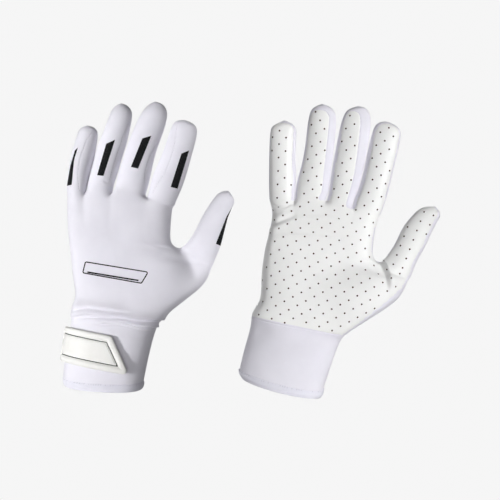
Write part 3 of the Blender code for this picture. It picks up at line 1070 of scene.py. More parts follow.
def splitSkin(side, skin):
    # parts the skin at its seams and finger roots, keeping the shading of the whole
    mesh = skin.data
    store = mesh.attributes.new("wholeNormal", "FLOAT_VECTOR", "POINT")
    store.data.foreach_set("vector", readNormals(mesh).reshape(-1))
    makeActive(skin)
    bpy.ops.object.mode_set(mode="EDIT")
    bpy.ops.mesh.select_all(action="SELECT")
    bpy.ops.mesh.separate(type="MATERIAL")
    bpy.ops.object.mode_set(mode="OBJECT")
    pieces = {}
    for piece in list(bpy.context.selected_objects):
        partMesh = piece.data
        tag = partMesh.materials[partMesh.polygons[0].material_index].name
        normals = np.empty(len(partMesh.vertices) * 3)
        partMesh.attributes["wholeNormal"].data.foreach_get("vector", normals)
        partMesh.attributes.remove(partMesh.attributes["wholeNormal"])
        partMesh.normals_split_custom_set_from_vertices(normals.reshape(-1, 3).tolist())
        partMesh.materials.clear()
        partMesh.polygons.foreach_set("material_index", [0] * len(partMesh.polygons))
        pieces[tag.removeprefix(f"{side}_")] = piece
    return pieces


def dressSkin(side, pieces):
    # names, materials and bodies of the cloth pieces, and the CAD nodes that they stand for
    for tag, piece in pieces.items():
        zone = tag.removesuffix("_synthetic")
        synthetic = tag.endswith("_synthetic")
        piece.data.materials.append(materials["palm" if synthetic else "hem" if zone == "hem" else "knit"])
        if zone in fingerNames:
            node = f"{side}_{zone}_facing" if synthetic else f"{side}_{zone}_back"
        elif zone == "hand":
            node = f"{side}_hand_palm" if synthetic else f"{side}_hand_back"
        else:
            node = f"{side}_cuff_hem" if zone == "hem" else f"{side}_{zone}"
        piece.name = f"{node}_cloth"
        moveWith(piece, zone)
        if zone != "lining":
            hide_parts(node)


def newMaterial(name, colour, roughness):
    material = bpy.data.materials.new(name)
    material.use_nodes = True
    shader = material.node_tree.nodes["Principled BSDF"]
    shader.inputs["Base Color"].default_value = (*colour, 1.0)
    shader.inputs["Roughness"].default_value = roughness
    return material, material.node_tree.nodes, material.node_tree.links, shader


# Each finish: its name, the two ends of a slow change of tint with its scale, and its roughness. Some also
# have a fine relief, made of knitted ribs, cells or grain, with its depth and strength.
looks = {
    "knit": {
        "name": "white stretch knit", "dark": (0.805, 0.79, 0.86), "light": (0.855, 0.84, 0.91),
        "scale": 38.0, "rough": 0.78, "gloss": 0.25, "sheen": (0.18, 0.5), "ribs": 0.0006,
        "relief": (0.00012, 0.28),
    },
    "hem": {
        "name": "white hem knit", "dark": (0.795, 0.785, 0.875), "light": (0.845, 0.835, 0.915),
        "scale": 38.0, "rough": 0.80, "gloss": 0.25, "sheen": (0.18, 0.5), "ribs": 0.0007,
        "relief": (0.00012, 0.28),
    },
    "palm": {
        "name": "punched palm synthetic", "dark": (0.875, 0.875, 0.865), "light": (0.915, 0.915, 0.905),
        "scale": 30.0, "rough": 0.42, "gloss": 0.40, "uneven": (240.0, -0.08, 0.10), "cells": 900.0,
        "relief": (0.00010, 0.30),
    },
    "rubber": {
        "name": "moulded strap rubber", "dark": (0.835, 0.828, 0.80), "light": (0.88, 0.875, 0.85),
        "scale": 60.0, "base": (0.86, 0.855, 0.83), "rough": 0.5, "grain": 2600.0, "relief": (0.00008, 0.25),
    },
    # black film with fine pale flecks where the knit shows through
    "film": {
        "name": "pressed black film", "dark": (0.006, 0.006, 0.007), "light": (0.16, 0.16, 0.16),
        "scale": 1500.0, "detail": 2.0, "stops": (0.64, 0.78), "base": (0.006, 0.006, 0.007),
        "rough": 0.5, "gloss": 0.06, "grain": 1500.0, "relief": (0.00006, 0.3),
    },
    # dark discs that paint the shade inside each punched hole
    "hole": {
        "name": "punched hole", "dark": (0.034, 0.011, 0.008), "light": (0.080, 0.030, 0.022),
        "scale": 700.0, "rough": 0.9, "gloss": 0.15,
    },
    "line": {
        "name": "moulded border line", "dark": (0.020, 0.024, 0.022), "light": (0.045, 0.050, 0.047),
        "scale": 500.0, "rough": 0.55, "gloss": 0.15,
    },
    # white thread painted greyer than the knit, as painted shade along the seams
    "thread": {
        "name": "white sewing thread", "dark": (0.64, 0.63, 0.70), "light": (0.74, 0.73, 0.80),
        "scale": 900.0, "base": (0.70, 0.69, 0.76), "rough": 0.6,
    },
    "hookTape": {
        "name": "hook tape", "dark": (0.58, 0.58, 0.62), "light": (0.72, 0.72, 0.75),
        "scale": 700.0, "base": (0.66, 0.66, 0.69), "rough": 0.9, "cells": 1100.0, "relief": (0.0004, 0.6),
    },
}
# What most finishes share: detail and ends of the tint, and the noise of grain, gloss and ribs
finish = {
    "detail": 4.0,
    "stops": (0.32, 0.68),
    "grainDetail": 2.0,
    "unevenDetail": 3.0,
    "ribScale": 0.314,  # the wave texture's scale times the pitch of its bands
    "ribDistortion": 1.2,
    "ribDetail": 1.0,
}


def makeFinish(look):
    base = look.get("base", look["light"])
    material, nodes, links, shader = newMaterial(look["name"], base, look["rough"])
    place = nodes.new("ShaderNodeTexCoord").outputs["Object"]

    def addTexture(kind, **sockets):
        texture = nodes.new(f"ShaderNodeTex{kind}")
        for name, value in sockets.items():
            texture.inputs[name].default_value = value
        links.new(place, texture.inputs["Vector"])
        return texture

    if "gloss" in look:
        shader.inputs["Specular IOR Level"].default_value = look["gloss"]
    if "sheen" in look:
        for socket, value in zip(("Sheen Weight", "Sheen Roughness"), look["sheen"]):
            shader.inputs[socket].default_value = value
    tint = addTexture("Noise", Scale=look["scale"], Detail=look.get("detail", finish["detail"]))
    ramp = nodes.new("ShaderNodeValToRGB")
    stops = look.get("stops", finish["stops"])
    for number, colour in enumerate((look["dark"], look["light"])):
        ramp.color_ramp.elements[number].position = stops[number]
        ramp.color_ramp.elements[number].color = (*colour, 1.0)
    links.new(tint.outputs["Fac"], ramp.inputs["Fac"])
    links.new(ramp.outputs["Color"], shader.inputs["Base Color"])
    if "uneven" in look:  # patches that shine more and less
        scale, least, most = look["uneven"]
        patches = addTexture("Noise", Scale=scale, Detail=finish["unevenDetail"])
        spread = nodes.new("ShaderNodeMapRange")
        spread.inputs["To Min"].default_value = look["rough"] + least
        spread.inputs["To Max"].default_value = look["rough"] + most
        links.new(patches.outputs["Fac"], spread.inputs["Value"])
        links.new(spread.outputs["Result"], shader.inputs["Roughness"])
    if "ribs" in look:
        crossed = nodes.new("ShaderNodeMath")
        crossed.operation = "MULTIPLY"
        scale = finish["ribScale"] / look["ribs"]
        bend, detail = finish["ribDistortion"], finish["ribDetail"]
        for number, direction in enumerate(("X", "Z")):
            ribs = addTexture("Wave", Scale=scale, Distortion=bend, Detail=detail)
            ribs.bands_direction = direction
            links.new(ribs.outputs["Fac"], crossed.inputs[number])
        height = crossed.outputs["Value"]
    elif "cells" in look:
        height = addTexture("Voronoi", Scale=look["cells"]).outputs["Distance"]
    elif "grain" in look:
        height = addTexture("Noise", Scale=look["grain"], Detail=finish["grainDetail"]).outputs["Fac"]
    if "relief" in look:
        bump = nodes.new("ShaderNodeBump")
        bump.inputs["Distance"].default_value, bump.inputs["Strength"].default_value = look["relief"]
        links.new(height, bump.inputs["Height"])
        links.new(bump.outputs["Normal"], shader.inputs["Normal"])
    return material


materials = {key: makeFinish(look) for key, look in looks.items()}
print("materials", len(materials))

touches = {side: SkinTouch(side, skins[side]) for side in skins}
wholeMeshes = {side: skins[side].data.copy() for side in skins}  # for the seams, when the skin is parted
for side in ("left", "right"):
    dressSkin(side, splitSkin(side, skins[side]))


perforation = {
    "radius": 0.00085,
    "proud": 0.00007,
    "rimShare": 0.6,  # how proud the rim is, as a share of the middle
    "margin": 0.0012,
    "steepest": -0.25,  # no holes where the skin turns further away from the view than this
    "sides": 8,
    "rows": 34,
    # each zone's square grid of holes: one hole in the photo, the pitch in pixels and the rise in degrees
    "left": {
        "hand": {"start": (120.0, 230.0), "pitch": 9.5, "turn": 38.0},
        "little": {"start": (82.0, 150.0), "pitch": 9.5, "turn": 33.0},
        "thumb": {"start": (214.0, 222.0), "pitch": 10.0, "turn": -16.0},
    },
    "right": {
        "hand": {"start": (304.4, 215.1), "pitch": 9.6, "turn": 27.5},
        "little": {"start": (279.5, 130.7), "pitch": 9.5, "turn": 43.0},
        "thumb": {"start": (420.5, 221.2), "pitch": 10.0, "turn": -21.0},
    },
}


def holeSpots(side, zone):
    # the skin under every hole of one zone
    touch = touches[side]
    grid = perforation[side].get(zone) or perforation[side]["hand"]
    turn = math.radians(grid["turn"])
    steps = range(-perforation["rows"], perforation["rows"] + 1)
    limit = perforation["steepest"]
    found = []
    for row in steps:
        for column in steps:
            x = grid["start"][0] + grid["pitch"] * (column * math.cos(turn) + row * math.sin(turn))
            y = grid["start"][1] + grid["pitch"] * (row * math.cos(turn) - column * math.sin(turn))
            spot = fromPhoto((x, y))
            if not cadBox[0].x < spot.x < cadBox[1].x or not cadBox[0].z < spot.z < cadBox[1].z:
                continue
            point, normal, number = touch.fromSide(spot, -1)
            if touch.tags[number] == f"{side}_{zone}_synthetic" and normal.y * touch.face < limit:
                found.append((point, normal))
    distance = syntheticDistance(side, np.array([tuple(point) for point, normal in found]))
    return [spot for spot, inside in zip(found, distance) if inside < -perforation["margin"]]


def layHoles(side):
    # the holes of the hand's palm and of all the facings, as dark discs just over the skin, not cut through;
    # their dark is painted shade of each hole's inside
    steps = perforation["sides"]
    for zone in ("hand",) + fingerNames:
        corners, faces = [], []
        for point, normal in holeSpots(side, zone):
            right = normal.orthogonal().normalized()
            up = normal.cross(right)
            first = len(corners)
            corners.append(point + normal * perforation["proud"])
            for step in range(steps):
                angle = 2 * math.pi * step / steps
                rim = point + (right * math.cos(angle) + up * math.sin(angle)) * perforation["radius"]
                corners.append(rim + normal * perforation["proud"] * perforation["rimShare"])
            faces += [(first, first + 1 + step, first + 1 + (step + 1) % steps) for step in range(steps)]
        piece = newPiece(f"{side}_{zone}_holes", corners, faces, materials["hole"])
        moveWith(piece, zone)


stitching = {
    "pitch": 0.0021,
    "length": 0.0014,
    "width": 0.00065,
    "proud": 0.00038,
    "aside": 0.0009,
    "hemDrops": (0.0013, 0.0030),
    "shortest": 4,  # a run with no more points than this isn't sewn
    "evenTurns": 3,  # how often the small steps of a cut line are evened out
}


def edgeChains(edges):
    # ordered runs of points from a loose set of edges
    links = {}
    for first, second in edges:
        links.setdefault(first, []).append(second)
        links.setdefault(second, []).append(first)
    chains = []
    unused = set(links)
    starts = [point for point in links if len(links[point]) == 1] + list(links)
    for start in starts:
        if start not in unused:
            continue
        chain = [start]
        unused.discard(start)
        while True:
            onward = [point for point in links[chain[-1]] if point in unused]
            if not onward:
                break
            chain.append(onward[0])
            unused.discard(onward[0])
        if len(chain) > stitching["shortest"]:
            chains.append(chain)
    return chains


def walkEvenly(points, pitch):
    # spots and directions at even steps along a run of points
    spots = []
    left = pitch / 2
    for start, end in zip(points, points[1:]):
        run = (end - start).length
        if run < leastSize / 10:
            continue
        direction = (end - start) / run
        while left <= run:
            spots.append((start + direction * left, direction))
            left += pitch
        left -= run
    return spots


def addStitch(corners, faces, spot, direction, normal):
    # one stitch: a low grain of thread with pointed ends
    first = len(corners)
    reach = direction * stitching["length"] / 2
    wide = normal.cross(direction).normalized() * stitching["width"] / 2
    corners += [spot - reach, spot + wide, spot + reach, spot - wide, spot + normal * stitching["proud"]]
    faces += [(first + step, first + (step + 1) % 4, first + 4) for step in range(4)]


def seamRuns(side):
    # the gusset seams and the hem's seam as runs of points
    mesh = wholeMeshes[side]
    onLine = set(seamSets[side][1][0])
    edges = [tuple(edge.vertices) for edge in mesh.edges if onLine.issuperset(edge.vertices)]
    runs = [("gusset", chain) for chain in edgeChains(edges)]
    hemPoints = {point for polygon in facesByTag(mesh, f"{side}_hem") for point in polygon.vertices}
    cuffEdges = {key for polygon in facesByTag(mesh, f"{side}_cuff") for key in polygon.edge_keys}
    hemEdges = [key for key in cuffEdges if hemPoints.issuperset(key)]
    runs += [("hem", chain + chain[:1]) for chain in edgeChains(hemEdges)]
    found = []
    for name, chain in runs:
        points = [mesh.vertices[number].co.copy() for number in chain]
        for turn in range(stitching["evenTurns"]):
            points = evened(points)
        found.append((name, points))
    return found


def sewSeams(side):
    # thread beside the gusset seams and in two rows on the hem; the facings' seams have none. The thread is
    # greyer than the knit: painted seam shade
    touch = touches[side]
    zones = {}
    for name, points in seamRuns(side):
        for spot, direction in walkEvenly(points, stitching["pitch"]):
            foot, normal, number = touch.nearest(spot)
            across = normal.cross(direction).normalized()
            zone = touch.zone(number)
            if name == "hem":
                down = across if across.z < 0 else -across
                shifts = [down * drop for drop in stitching["hemDrops"]]
            else:
                towards = 1 if zone in ("index", "thumb") else -1
                shifts = [across * math.copysign(stitching["aside"], across.x * towards)]
            for shift in shifts:
                foot, normal, number = touch.nearest(spot + shift)
                corners, faces = zones.setdefault(touch.zone(number), ([], []))
                addStitch(corners, faces, foot, direction, normal)
    for zone, (corners, faces) in zones.items():
        piece = newPiece(f"{side}_{zone}_stitching", corners, faces, materials["thread"])
        moveWith(piece, zone)


# Black film on the left glove's finger backs: its left and its right edge in the photo, from top to bottom
filmStripes = {
    "little": {
        "left": [(75, 150.5), (70.5, 166), (66.5, 185.8)],
        "right": [(78, 147.6), (74.2, 160), (71.8, 184.8)],
    },
    "ring": {"left": [(106.2, 143.8), (97.2, 175.2)], "right": [(115, 139.8), (103.4, 176)]},
    "middle": {"left": [(142.4, 138.4), (130.9, 167)], "right": [(151.2, 135.8), (138, 168.6)]},
    "index": {"left": [(181.4, 153.6), (170.6, 187)], "right": [(189, 150.4), (177.4, 188.6)]},
    "thumb": {"left": [(226.6, 216), (215.7, 243.8)], "right": [(232, 207.6), (228.6, 218), (221, 246)]},
}
filmShape = {"columns": 10, "rows": 44, "proud": 0.00022, "margin": 0.015}


def onOtherHand(side, number, spot):
    # the place on a finger that a photo spot of the left glove has, on either glove
    model = stallSets["left"][number]
    stall = stallSets[side][number]
    step = fromPhoto(spot) - model["root"]
    share = step.dot(model["along"]) / model["length"]
    left, right = stallEdges(model, step.dot(model["along"]))
    aside = (step.dot(model["across"]) - left) / (right - left)
    aside = min(max(aside, filmShape["margin"]), 1 - filmShape["margin"])
    left, right = stallEdges(stall, share * stall["length"])
    place = stall["root"] + stall["along"] * (share * stall["length"])
    return place + stall["across"] * float(left + (right - left) * aside)


def alongRun(points, share):
    # the point at a share of a run's length
    runs = [(end - start).length for start, end in zip(points, points[1:])]
    reach = share * sum(runs)
    for start, end, run in zip(points, points[1:], runs):
        if reach <= run:
            return start.lerp(end, reach / run)
        reach -= run
    return points[-1]


def turnOut(piece, face):
    # an open sheet on the back of a hand faces the way the back does
    if sum(polygon.normal.y * polygon.area for polygon in piece.data.polygons) * face < 0:
        piece.data.flip_normals()


def pressStripes(side):
    # a thin film on each finger's back
    touch = touches[side]
    columns, rows = filmShape["columns"], filmShape["rows"]
    material = materials["film"].name
    for number, name in enumerate(fingerNames):
        edges = {}
        for edge, spots in filmStripes[name].items():
            edges[edge] = [onOtherHand(side, number, spot) for spot in spots]

        def filmPoint(column, row):
            left = alongRun(edges["left"], 1 - row / rows)
            right = alongRun(edges["right"], 1 - row / rows)
            point, normal, face = touch.fromSide(left.lerp(right, column / columns), 1)
            return point + normal * filmShape["proud"]

        film = clothGrid(f"{side}_{name}_stripe", columns, rows, filmPoint, lambda row: material)
        film.data.shade_smooth()
        turnOut(film, gloveShapes[side]["face"])
        moveWith(film, name)


def roundedLoop(corners, insets, radius, arcSteps, edgeSteps):
    # a closed run of points in a convex outline, with each edge moved in and each corner rounded
    count = len(corners)
    corners = [Vector(corner) for corner in corners]
    middle = sum(corners, Vector((0.0, 0.0))) / count
    lines = []
    for number, start in enumerate(corners):
        step = (corners[(number + 1) % count] - start).normalized()
        inward = Vector((-step.y, step.x))
        if (middle - start).dot(inward) < 0:
            inward = -inward
        lines.append((inward, start.dot(inward) + insets[number]))
    arcs = []
    for number in range(count):
        (first, firstReach), (second, secondReach) = lines[number - 1], lines[number]
        size = first.x * second.y - first.y * second.x
        x = ((firstReach + radius) * second.y - (secondReach + radius) * first.y) / size
        y = ((secondReach + radius) * first.x - (firstReach + radius) * second.x) / size
        start = math.atan2(-first.y, -first.x)
        sweep = (math.atan2(-second.y, -second.x) - start + math.pi) % (2 * math.pi) - math.pi
        arc = []
        for step in range(arcSteps + 1):
            angle = start + sweep * step / arcSteps
            arc.append(Vector((x + radius * math.cos(angle), y + radius * math.sin(angle))))
        arcs.append(arc)
    loop = []
    for number in range(count):
        end = arcs[(number + 1) % count][0]
        steps = edgeSteps[number]
        loop += arcs[number]
        loop += [arcs[number][-1].lerp(end, step / steps) for step in range(1, steps)]
    return loop


badge = {  # a plain outline and a plain bar on the back of each hand, in the photo's pixels
    "corners": [(85.1, 261.2), (149.1, 271.7), (141.7, 283.9), (82.1, 273.3)],
    "line": 1.15,
    "radius": 2.0,
    "edgeSteps": (44, 10, 42, 9),
    "arcSteps": 5,
    "bar": [(87.5, 272.1), (138.5, 280.5)],
    "barWidth": 1.5,
    "barSteps": 36,
    "hinge": {"left": (115.0, 322.0), "right": (296.0, 327.0)},
    "turn": {"left": 0.0, "right": 11.8},
}


def pressBadge(side):
    # the outline is two loops apart by the line's width, and the bar a row of short faces
    touch = touches[side]
    turn = math.radians(badge["turn"][side])
    hinge = Vector(badge["hinge"][side])

    def press(spot):
        step = Vector(spot) - Vector(badge["hinge"]["left"])
        x = hinge.x + step.x * math.cos(turn) - step.y * math.sin(turn)
        y = hinge.y + step.x * math.sin(turn) + step.y * math.cos(turn)
        point, normal, number = touch.fromSide(fromPhoto((x, y)), 1)
        return point + normal * filmShape["proud"]

    loops = []
    for inset in (0.0, badge["line"]):
        radius = badge["radius"] - inset
        loops += roundedLoop(badge["corners"], (inset,) * 4, radius, badge["arcSteps"], badge["edgeSteps"])
    count = len(loops) // 2
    corners = [press(spot) for spot in loops]
    faces = [(step, (step + 1) % count, count + (step + 1) % count, count + step) for step in range(count)]
    start, end = [Vector(spot) for spot in badge["bar"]]
    aside = Vector((start.y - end.y, end.x - start.x)).normalized() * badge["barWidth"] / 2
    steps = badge["barSteps"]
    for step in range(steps + 1):
        spot = start.lerp(end, step / steps)
        corners += [press(spot - aside), press(spot + aside)]
    for step in range(steps):
        first = 2 * count + 2 * step
        faces.append((first, first + 1, first + 3, first + 2))
    piece = newPiece(f"{side}_hand_badge", corners, faces, materials["film"])
    turnOut(piece, gloveShapes[side]["face"])
    moveWith(piece, "hand")


for side in ("left", "right"):
    layHoles(side)
    sewSeams(side)
    pressStripes(side)
    pressBadge(side)
    print(f"{side} holes, stitching and film set")


strapShape = {
    "sectionPower": 2.5,
    "rootAngle": 176.0,
    "endTop": 0.01,  # where the free end's corners lie across the cuff, as shares of its half width
    "endFoot": 0.545,
    "rootHeights": (0.0122, 0.0434),
    "endHeights": (0.0136, 0.0447),
    "radius": 0.0032,
    "leastRadius": 0.0006,
    "rest": 0.0016,
    "unrollAt": 0.0036,  # the height over the cuff at which lengths round it are measured
    "unrollSpan": 130,
    "cuffBand": 0.0005,  # how near to the mouth and the wrist the CAD cuff is measured
    "rootInset": 0.12,  # the rim and the line run on to the sewn end
    "rootThin": 0.12,  # thickness of the sewn end, as a share of the full one
    "shadeAngle": 50.0,
    "edgeSteps": (30, 14, 30, 8),
    "arcSteps": 6,
    "line": (0.0059, 0.0067),
    "lineHeights": (0.00245, 0.00262),
    "pile": [(0.0045, 0.0), (0.0048, -0.0005), (0.0090, -0.0006), (0.0144, -0.0006)],
    # distance from the edge and height of the upper face, from the foot of its wall to the flat panel
    "face": [
        (0.0006, 0.0000), (0.0000, 0.0006), (0.0000, 0.0018), (0.0003, 0.0025), (0.0009, 0.0030),
        (0.0020, 0.0034), (0.0036, 0.0034), (0.0050, 0.0030), (0.0057, 0.0024), (0.0069, 0.0024),
        (0.0075, 0.0028), (0.0090, 0.0029), (0.0110, 0.0029), (0.0130, 0.0029), (0.0146, 0.0029),
    ],
    "underside": [(0.0030, 0.0000), (0.0070, 0.0000), (0.0110, 0.0000), (0.0146, 0.0000)],
    # where the sewn end grows to its full thickness
    "thinRoot": {"left": (-0.002, -0.001), "right": (0.003, 0.020)},
}


def readCuff(side):
    # the CAD cuff's axis and sizes, which the strap and the hook patch lie on
    face = gloveShapes[side]["face"]
    along = Vector(joints[f"{side}_strap_open"]["axis"]) * face
    across = Vector((along.z, 0.0, -along.x))
    hem = [vertex.co for vertex in frame["nodes"][f"{side}_cuff_hem"].data.vertices]
    cuff = [vertex.co for vertex in frame["nodes"][f"{side}_cuff"].data.vertices]
    low = min(point.dot(along) for point in hem)
    high = max(point.dot(along) for point in cuff)

    def ends(points, level):
        near = [point for point in points if abs(point.dot(along) - level) < strapShape["cuffBand"]]
        sides = [point.dot(across) for point in near]
        depths = [point.y * face for point in near]
        return min(sides), max(sides), max(depths), -min(depths)

    mouth = ends(hem, low)
    wrist = ends(cuff, high)
    return {
        "side": side,
        "face": face,
        "along": along,
        "across": across,
        "mouth": along * low + across * (mouth[0] + mouth[1]) / 2,
        "length": high - low,
        "half": ((mouth[1] - mouth[0]) / 2, (wrist[1] - wrist[0]) / 2),
        "back": (mouth[2], wrist[2]),
        "palm": (mouth[3], wrist[3]),
    }


def cuffPoint(cuff, height, angle, proud):
    share = height / cuff["length"]
    sizes = {}
    for key in ("half", "back", "palm"):
        sizes[key] = cuff[key][0] + (cuff[key][1] - cuff[key][0]) * share + proud
    cosine = math.cos(math.radians(angle))
    sine = math.sin(math.radians(angle))
    power = 2 / strapShape["sectionPower"]
    sideways = math.copysign(abs(cosine) ** power, cosine) * sizes["half"]
    depth = math.copysign(abs(sine) ** power, sine) * sizes["back" if sine > 0 else "palm"]
    flat = cuff["mouth"] + cuff["along"] * height + cuff["across"] * sideways
    return Vector((flat.x, cuff["face"] * depth, flat.z))


def unrollCuff(cuff):
    # distances round the cuff from the strap's sewn end, and the angles they belong to
    angles = [strapShape["rootAngle"] - step for step in range(strapShape["unrollSpan"])]
    height = sum(strapShape["rootHeights"]) / 2
    points = [cuffPoint(cuff, height, angle, strapShape["unrollAt"]) for angle in angles]
    distances = [0.0]
    for start, end in zip(points, points[1:]):
        distances.append(distances[-1] + (end - start).length)
    return distances, angles


def layStrap(cuff):
    # the strap's four corners on the unrolled cuff, and the way back onto the cuff
    distances, angles = unrollCuff(cuff)

    def reachAt(share):
        # the distance round the cuff to a share of its half width
        angle = math.degrees(math.acos(share ** (strapShape["sectionPower"] / 2)))
        return float(np.interp(-angle, [-angle for angle in angles], distances))

    top, foot = reachAt(strapShape["endTop"]), reachAt(strapShape["endFoot"])
    rootLow, rootHigh = strapShape["rootHeights"]
    endLow, endHigh = strapShape["endHeights"]
    corners = [(0.0, rootLow), (foot, endLow), (top, endHigh), (0.0, rootHigh)]
    thinStart, thinEnd = strapShape["thinRoot"][cuff["side"]]

    def place(spot, rise):
        angle = float(np.interp(spot.x, distances, angles))
        thin = strapShape["rootThin"]
        grown = thin + (1 - thin) * float(smoothStep(spot.x, thinStart, thinEnd))
        return cuffPoint(cuff, spot.y, angle, (strapShape["rest"] + rise) * grown)

    def loop(inset):
        insets = (inset, inset, inset, inset * strapShape["rootInset"])
        radius = max(strapShape["radius"] - inset, strapShape["leastRadius"])
        return roundedLoop(corners, insets, radius, strapShape["arcSteps"], strapShape["edgeSteps"])

    return loop, place


def closeLoop(first):
    # faces that fill a thin inner loop: quads from its lower to its upper edge and a cap at either end
    arc = strapShape["arcSteps"] + 1
    low, end, high, root = [steps - 1 for steps in strapShape["edgeSteps"]]
    lowStart = first + arc
    highStart = first + arc + low + arc + end + arc
    highEnd = highStart + high
    faces = []
    for step in range(low - 1):
        faces.append((lowStart + step, lowStart + step + 1, highEnd - 2 - step, highEnd - 1 - step))
    faces.append(tuple(range(lowStart + low - 1, highStart + 1)))
    faces.append(tuple(range(highEnd - 1, highEnd + arc + root)) + tuple(range(first, lowStart + 1)))
    return faces


def addLoops(corners, loop, place, profile):
    # one loop of points for each inset and rise of a profile; gives where each of them starts
    starts = []
    for inset, rise in profile:
        starts.append(len(corners))
        corners.extend(place(spot, rise) for spot in loop(inset))
    return starts


def bridgeLoops(faces, first, second, count):
    for step in range(count):
        after = (step + 1) % count
        faces.append((first + step, first + after, second + after, second + step))


def makeStrap(side):
    # the moulded tab: rounded rim, a groove for the dark line, a flat panel and a flat underside
    cuff = readCuff(side)
    loop, place = layStrap(cuff)
    corners, faces = [], []
    upper = addLoops(corners, loop, place, strapShape["face"])
    lower = addLoops(corners, loop, place, strapShape["underside"])
    for first, second in zip(upper, upper[1:]):
        bridgeLoops(faces, first, second, upper[1])
    for first, second in zip([upper[0]] + lower, lower):
        bridgeLoops(faces, second, first, upper[1])
    faces += closeLoop(upper[-1]) + closeLoop(lower[-1])
    strap = newPiece(f"{side}_strap_tab", corners, faces, materials["rubber"])
    makeActive(strap)
    turnFacesOut()
    bpy.ops.object.shade_smooth_by_angle(angle=math.radians(strapShape["shadeAngle"]))
    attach(strap, f"{side}_strap")
    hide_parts(f"{side}_strap")
    drawLine(side, loop, place)
    addLoopPad(side, loop, place)


def drawLine(side, loop, place):
    # the narrow dark line in the strap's groove, open at the sewn end
    outer, inner = [loop(inset) for inset in strapShape["line"]]
    edge, ridge = strapShape["lineHeights"]
    arc = strapShape["arcSteps"] + 1
    low, end, high, root = [steps - 1 for steps in strapShape["edgeSteps"]]
    start = arc - 1
    stop = arc + low + arc + end + arc + high + 1
    corners, faces = [], []
    for step in range(start, stop):
        middle = outer[step].lerp(inner[step], 0.5)
        corners += [place(outer[step], edge), place(middle, ridge), place(inner[step], edge)]
    for step in range(stop - start - 1):
        first = 3 * step
        faces.append((first, first + 1, first + 4, first + 3))
        faces.append((first + 1, first + 2, first + 5, first + 4))
    line = newPiece(f"{side}_strap_line", corners, faces, materials["line"])
    turnOut(line, gloveShapes[side]["face"])
    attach(line, f"{side}_strap")


def addLoopPad(side, loop, place):
    # soft loop pile on the underside, which the hooks hold
    corners, faces = [], []
    starts = addLoops(corners, loop, place, strapShape["pile"])
    for first, second in zip(starts, starts[1:]):
        bridgeLoops(faces, second, first, starts[1])
    faces += [tuple(reversed(face)) for face in closeLoop(starts[-1])]
    pad = newPiece(f"{side}_strap_pile", corners, faces, materials["hookTape"])
    turnOut(pad, -gloveShapes[side]["face"])
    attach(pad, f"{side}_strap")


hookPatch = {
    "span": (100.0, 140.0),
    "height": 0.0275,
    "width": 0.0240,
    "rest": 0.0004,
    "thick": 0.0007,
    "tapeColumns": 16,
    "tapeRows": 10,
    "shadeAngle": 40.0,
    "hook": 0.0005,
    "hookHalf": 0.0002,
    "rows": 16,
    "columns": 24,
    "stagger": 0.25,  # how far every other row is moved on, in columns
}


def makeHookPatch(side):
    # a sewn tape with a bed of small hooks
    cuff = readCuff(side)
    low = hookPatch["height"] - hookPatch["width"] / 2
    start, end = hookPatch["span"]

    def place(along, up, proud):
        height = low + hookPatch["width"] * up
        return cuffPoint(cuff, height, start + (end - start) * along, hookPatch["rest"] + proud)

    columns, rows = hookPatch["tapeColumns"], hookPatch["tapeRows"]

    def tapePoint(column, row):
        return place(column / columns, row / rows, 0.0)

    tape = clothGrid(f"{side}_hook_tape", columns, rows, tapePoint, lambda row: materials["hookTape"].name)
    turnOut(tape, gloveShapes[side]["face"])
    wall = tape.modifiers.new("wall", "SOLIDIFY")
    wall.thickness = hookPatch["thick"]
    wall.offset = 1.0
    makeActive(tape)
    bpy.ops.object.modifier_apply(modifier=wall.name)
    bpy.ops.object.shade_smooth_by_angle(angle=math.radians(hookPatch["shadeAngle"]))
    thick, half = hookPatch["thick"], hookPatch["hookHalf"]
    corners, faces = [], []
    for row in range(hookPatch["rows"]):
        for column in range(hookPatch["columns"]):
            along = (column + 0.5 + hookPatch["stagger"] * (row % 2)) / (hookPatch["columns"] + 0.5)
            up = (row + 0.5) / hookPatch["rows"]
            foot = place(along, up, thick)
            tip = place(along, up, thick + hookPatch["hook"])
            right = (place(along + 0.01, up, thick) - foot).normalized() * half
            high = (place(along, up + 0.01, thick) - foot).normalized() * half
            first = len(corners)
            corners += [foot - right - high, foot + right - high, foot + right + high, foot - right + high]
            corners.append(tip + right * 2)
            faces += [(first + step, first + (step + 1) % 4, first + 4) for step in range(4)]
    hooks = newPiece(f"{side}_hook_bed", corners, faces, materials["hookTape"])
    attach(tape, "hands")
    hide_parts(f"{side}_hook_patch")
    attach(hooks, "hands")


for side in ("left", "right"):
    makeStrap(side)
    makeHookPatch(side)
    bpy.data.meshes.remove(wholeMeshes[side])
print("straps and hook patches made")


# Camera at the photo's place: square on to the picture plane
sensorWidth = 36.0
camera = bpy.data.cameras.new("camera")
camera.sensor_width = sensorWidth
camera.lens = sensorWidth * cameraAway / (photo["size"] * photo["metresPerPixel"])
eye = bpy.data.objects.new("camera", camera)
bpy.context.scene.collection.objects.link(eye)
pictureMiddle = fromPhoto(photo["middle"])
eye.location = (pictureMiddle.x, -cameraAway, pictureMiddle.z)
eye.rotation_euler = (math.pi / 2, 0.0, 0.0)
bpy.context.scene.camera = eye

# A soft front light, a gridded softbox for each glove from its outer side, and a rear light for the views
# from behind: place, aim, size, power and spread
lamps = {
    "front": ((-0.30, -1.58, -0.05), (0.05, 0.0, 0.12), (0.9, 0.9), 6.9, 180.0),
    "leftBox": ((-0.806, -0.649, 0.11), (-0.085, 0.0, 0.09), (0.15, 0.36), 0.136, 6.0),
    "rightBox": ((0.775, -0.721, 0.15), (0.126, 0.0, 0.12), (0.18, 0.46), 0.19, 6.0),
    "rear": ((0.05, 1.60, 0.20), (0.05, 0.0, 0.12), (0.5, 0.5), 15.0, 180.0),
}


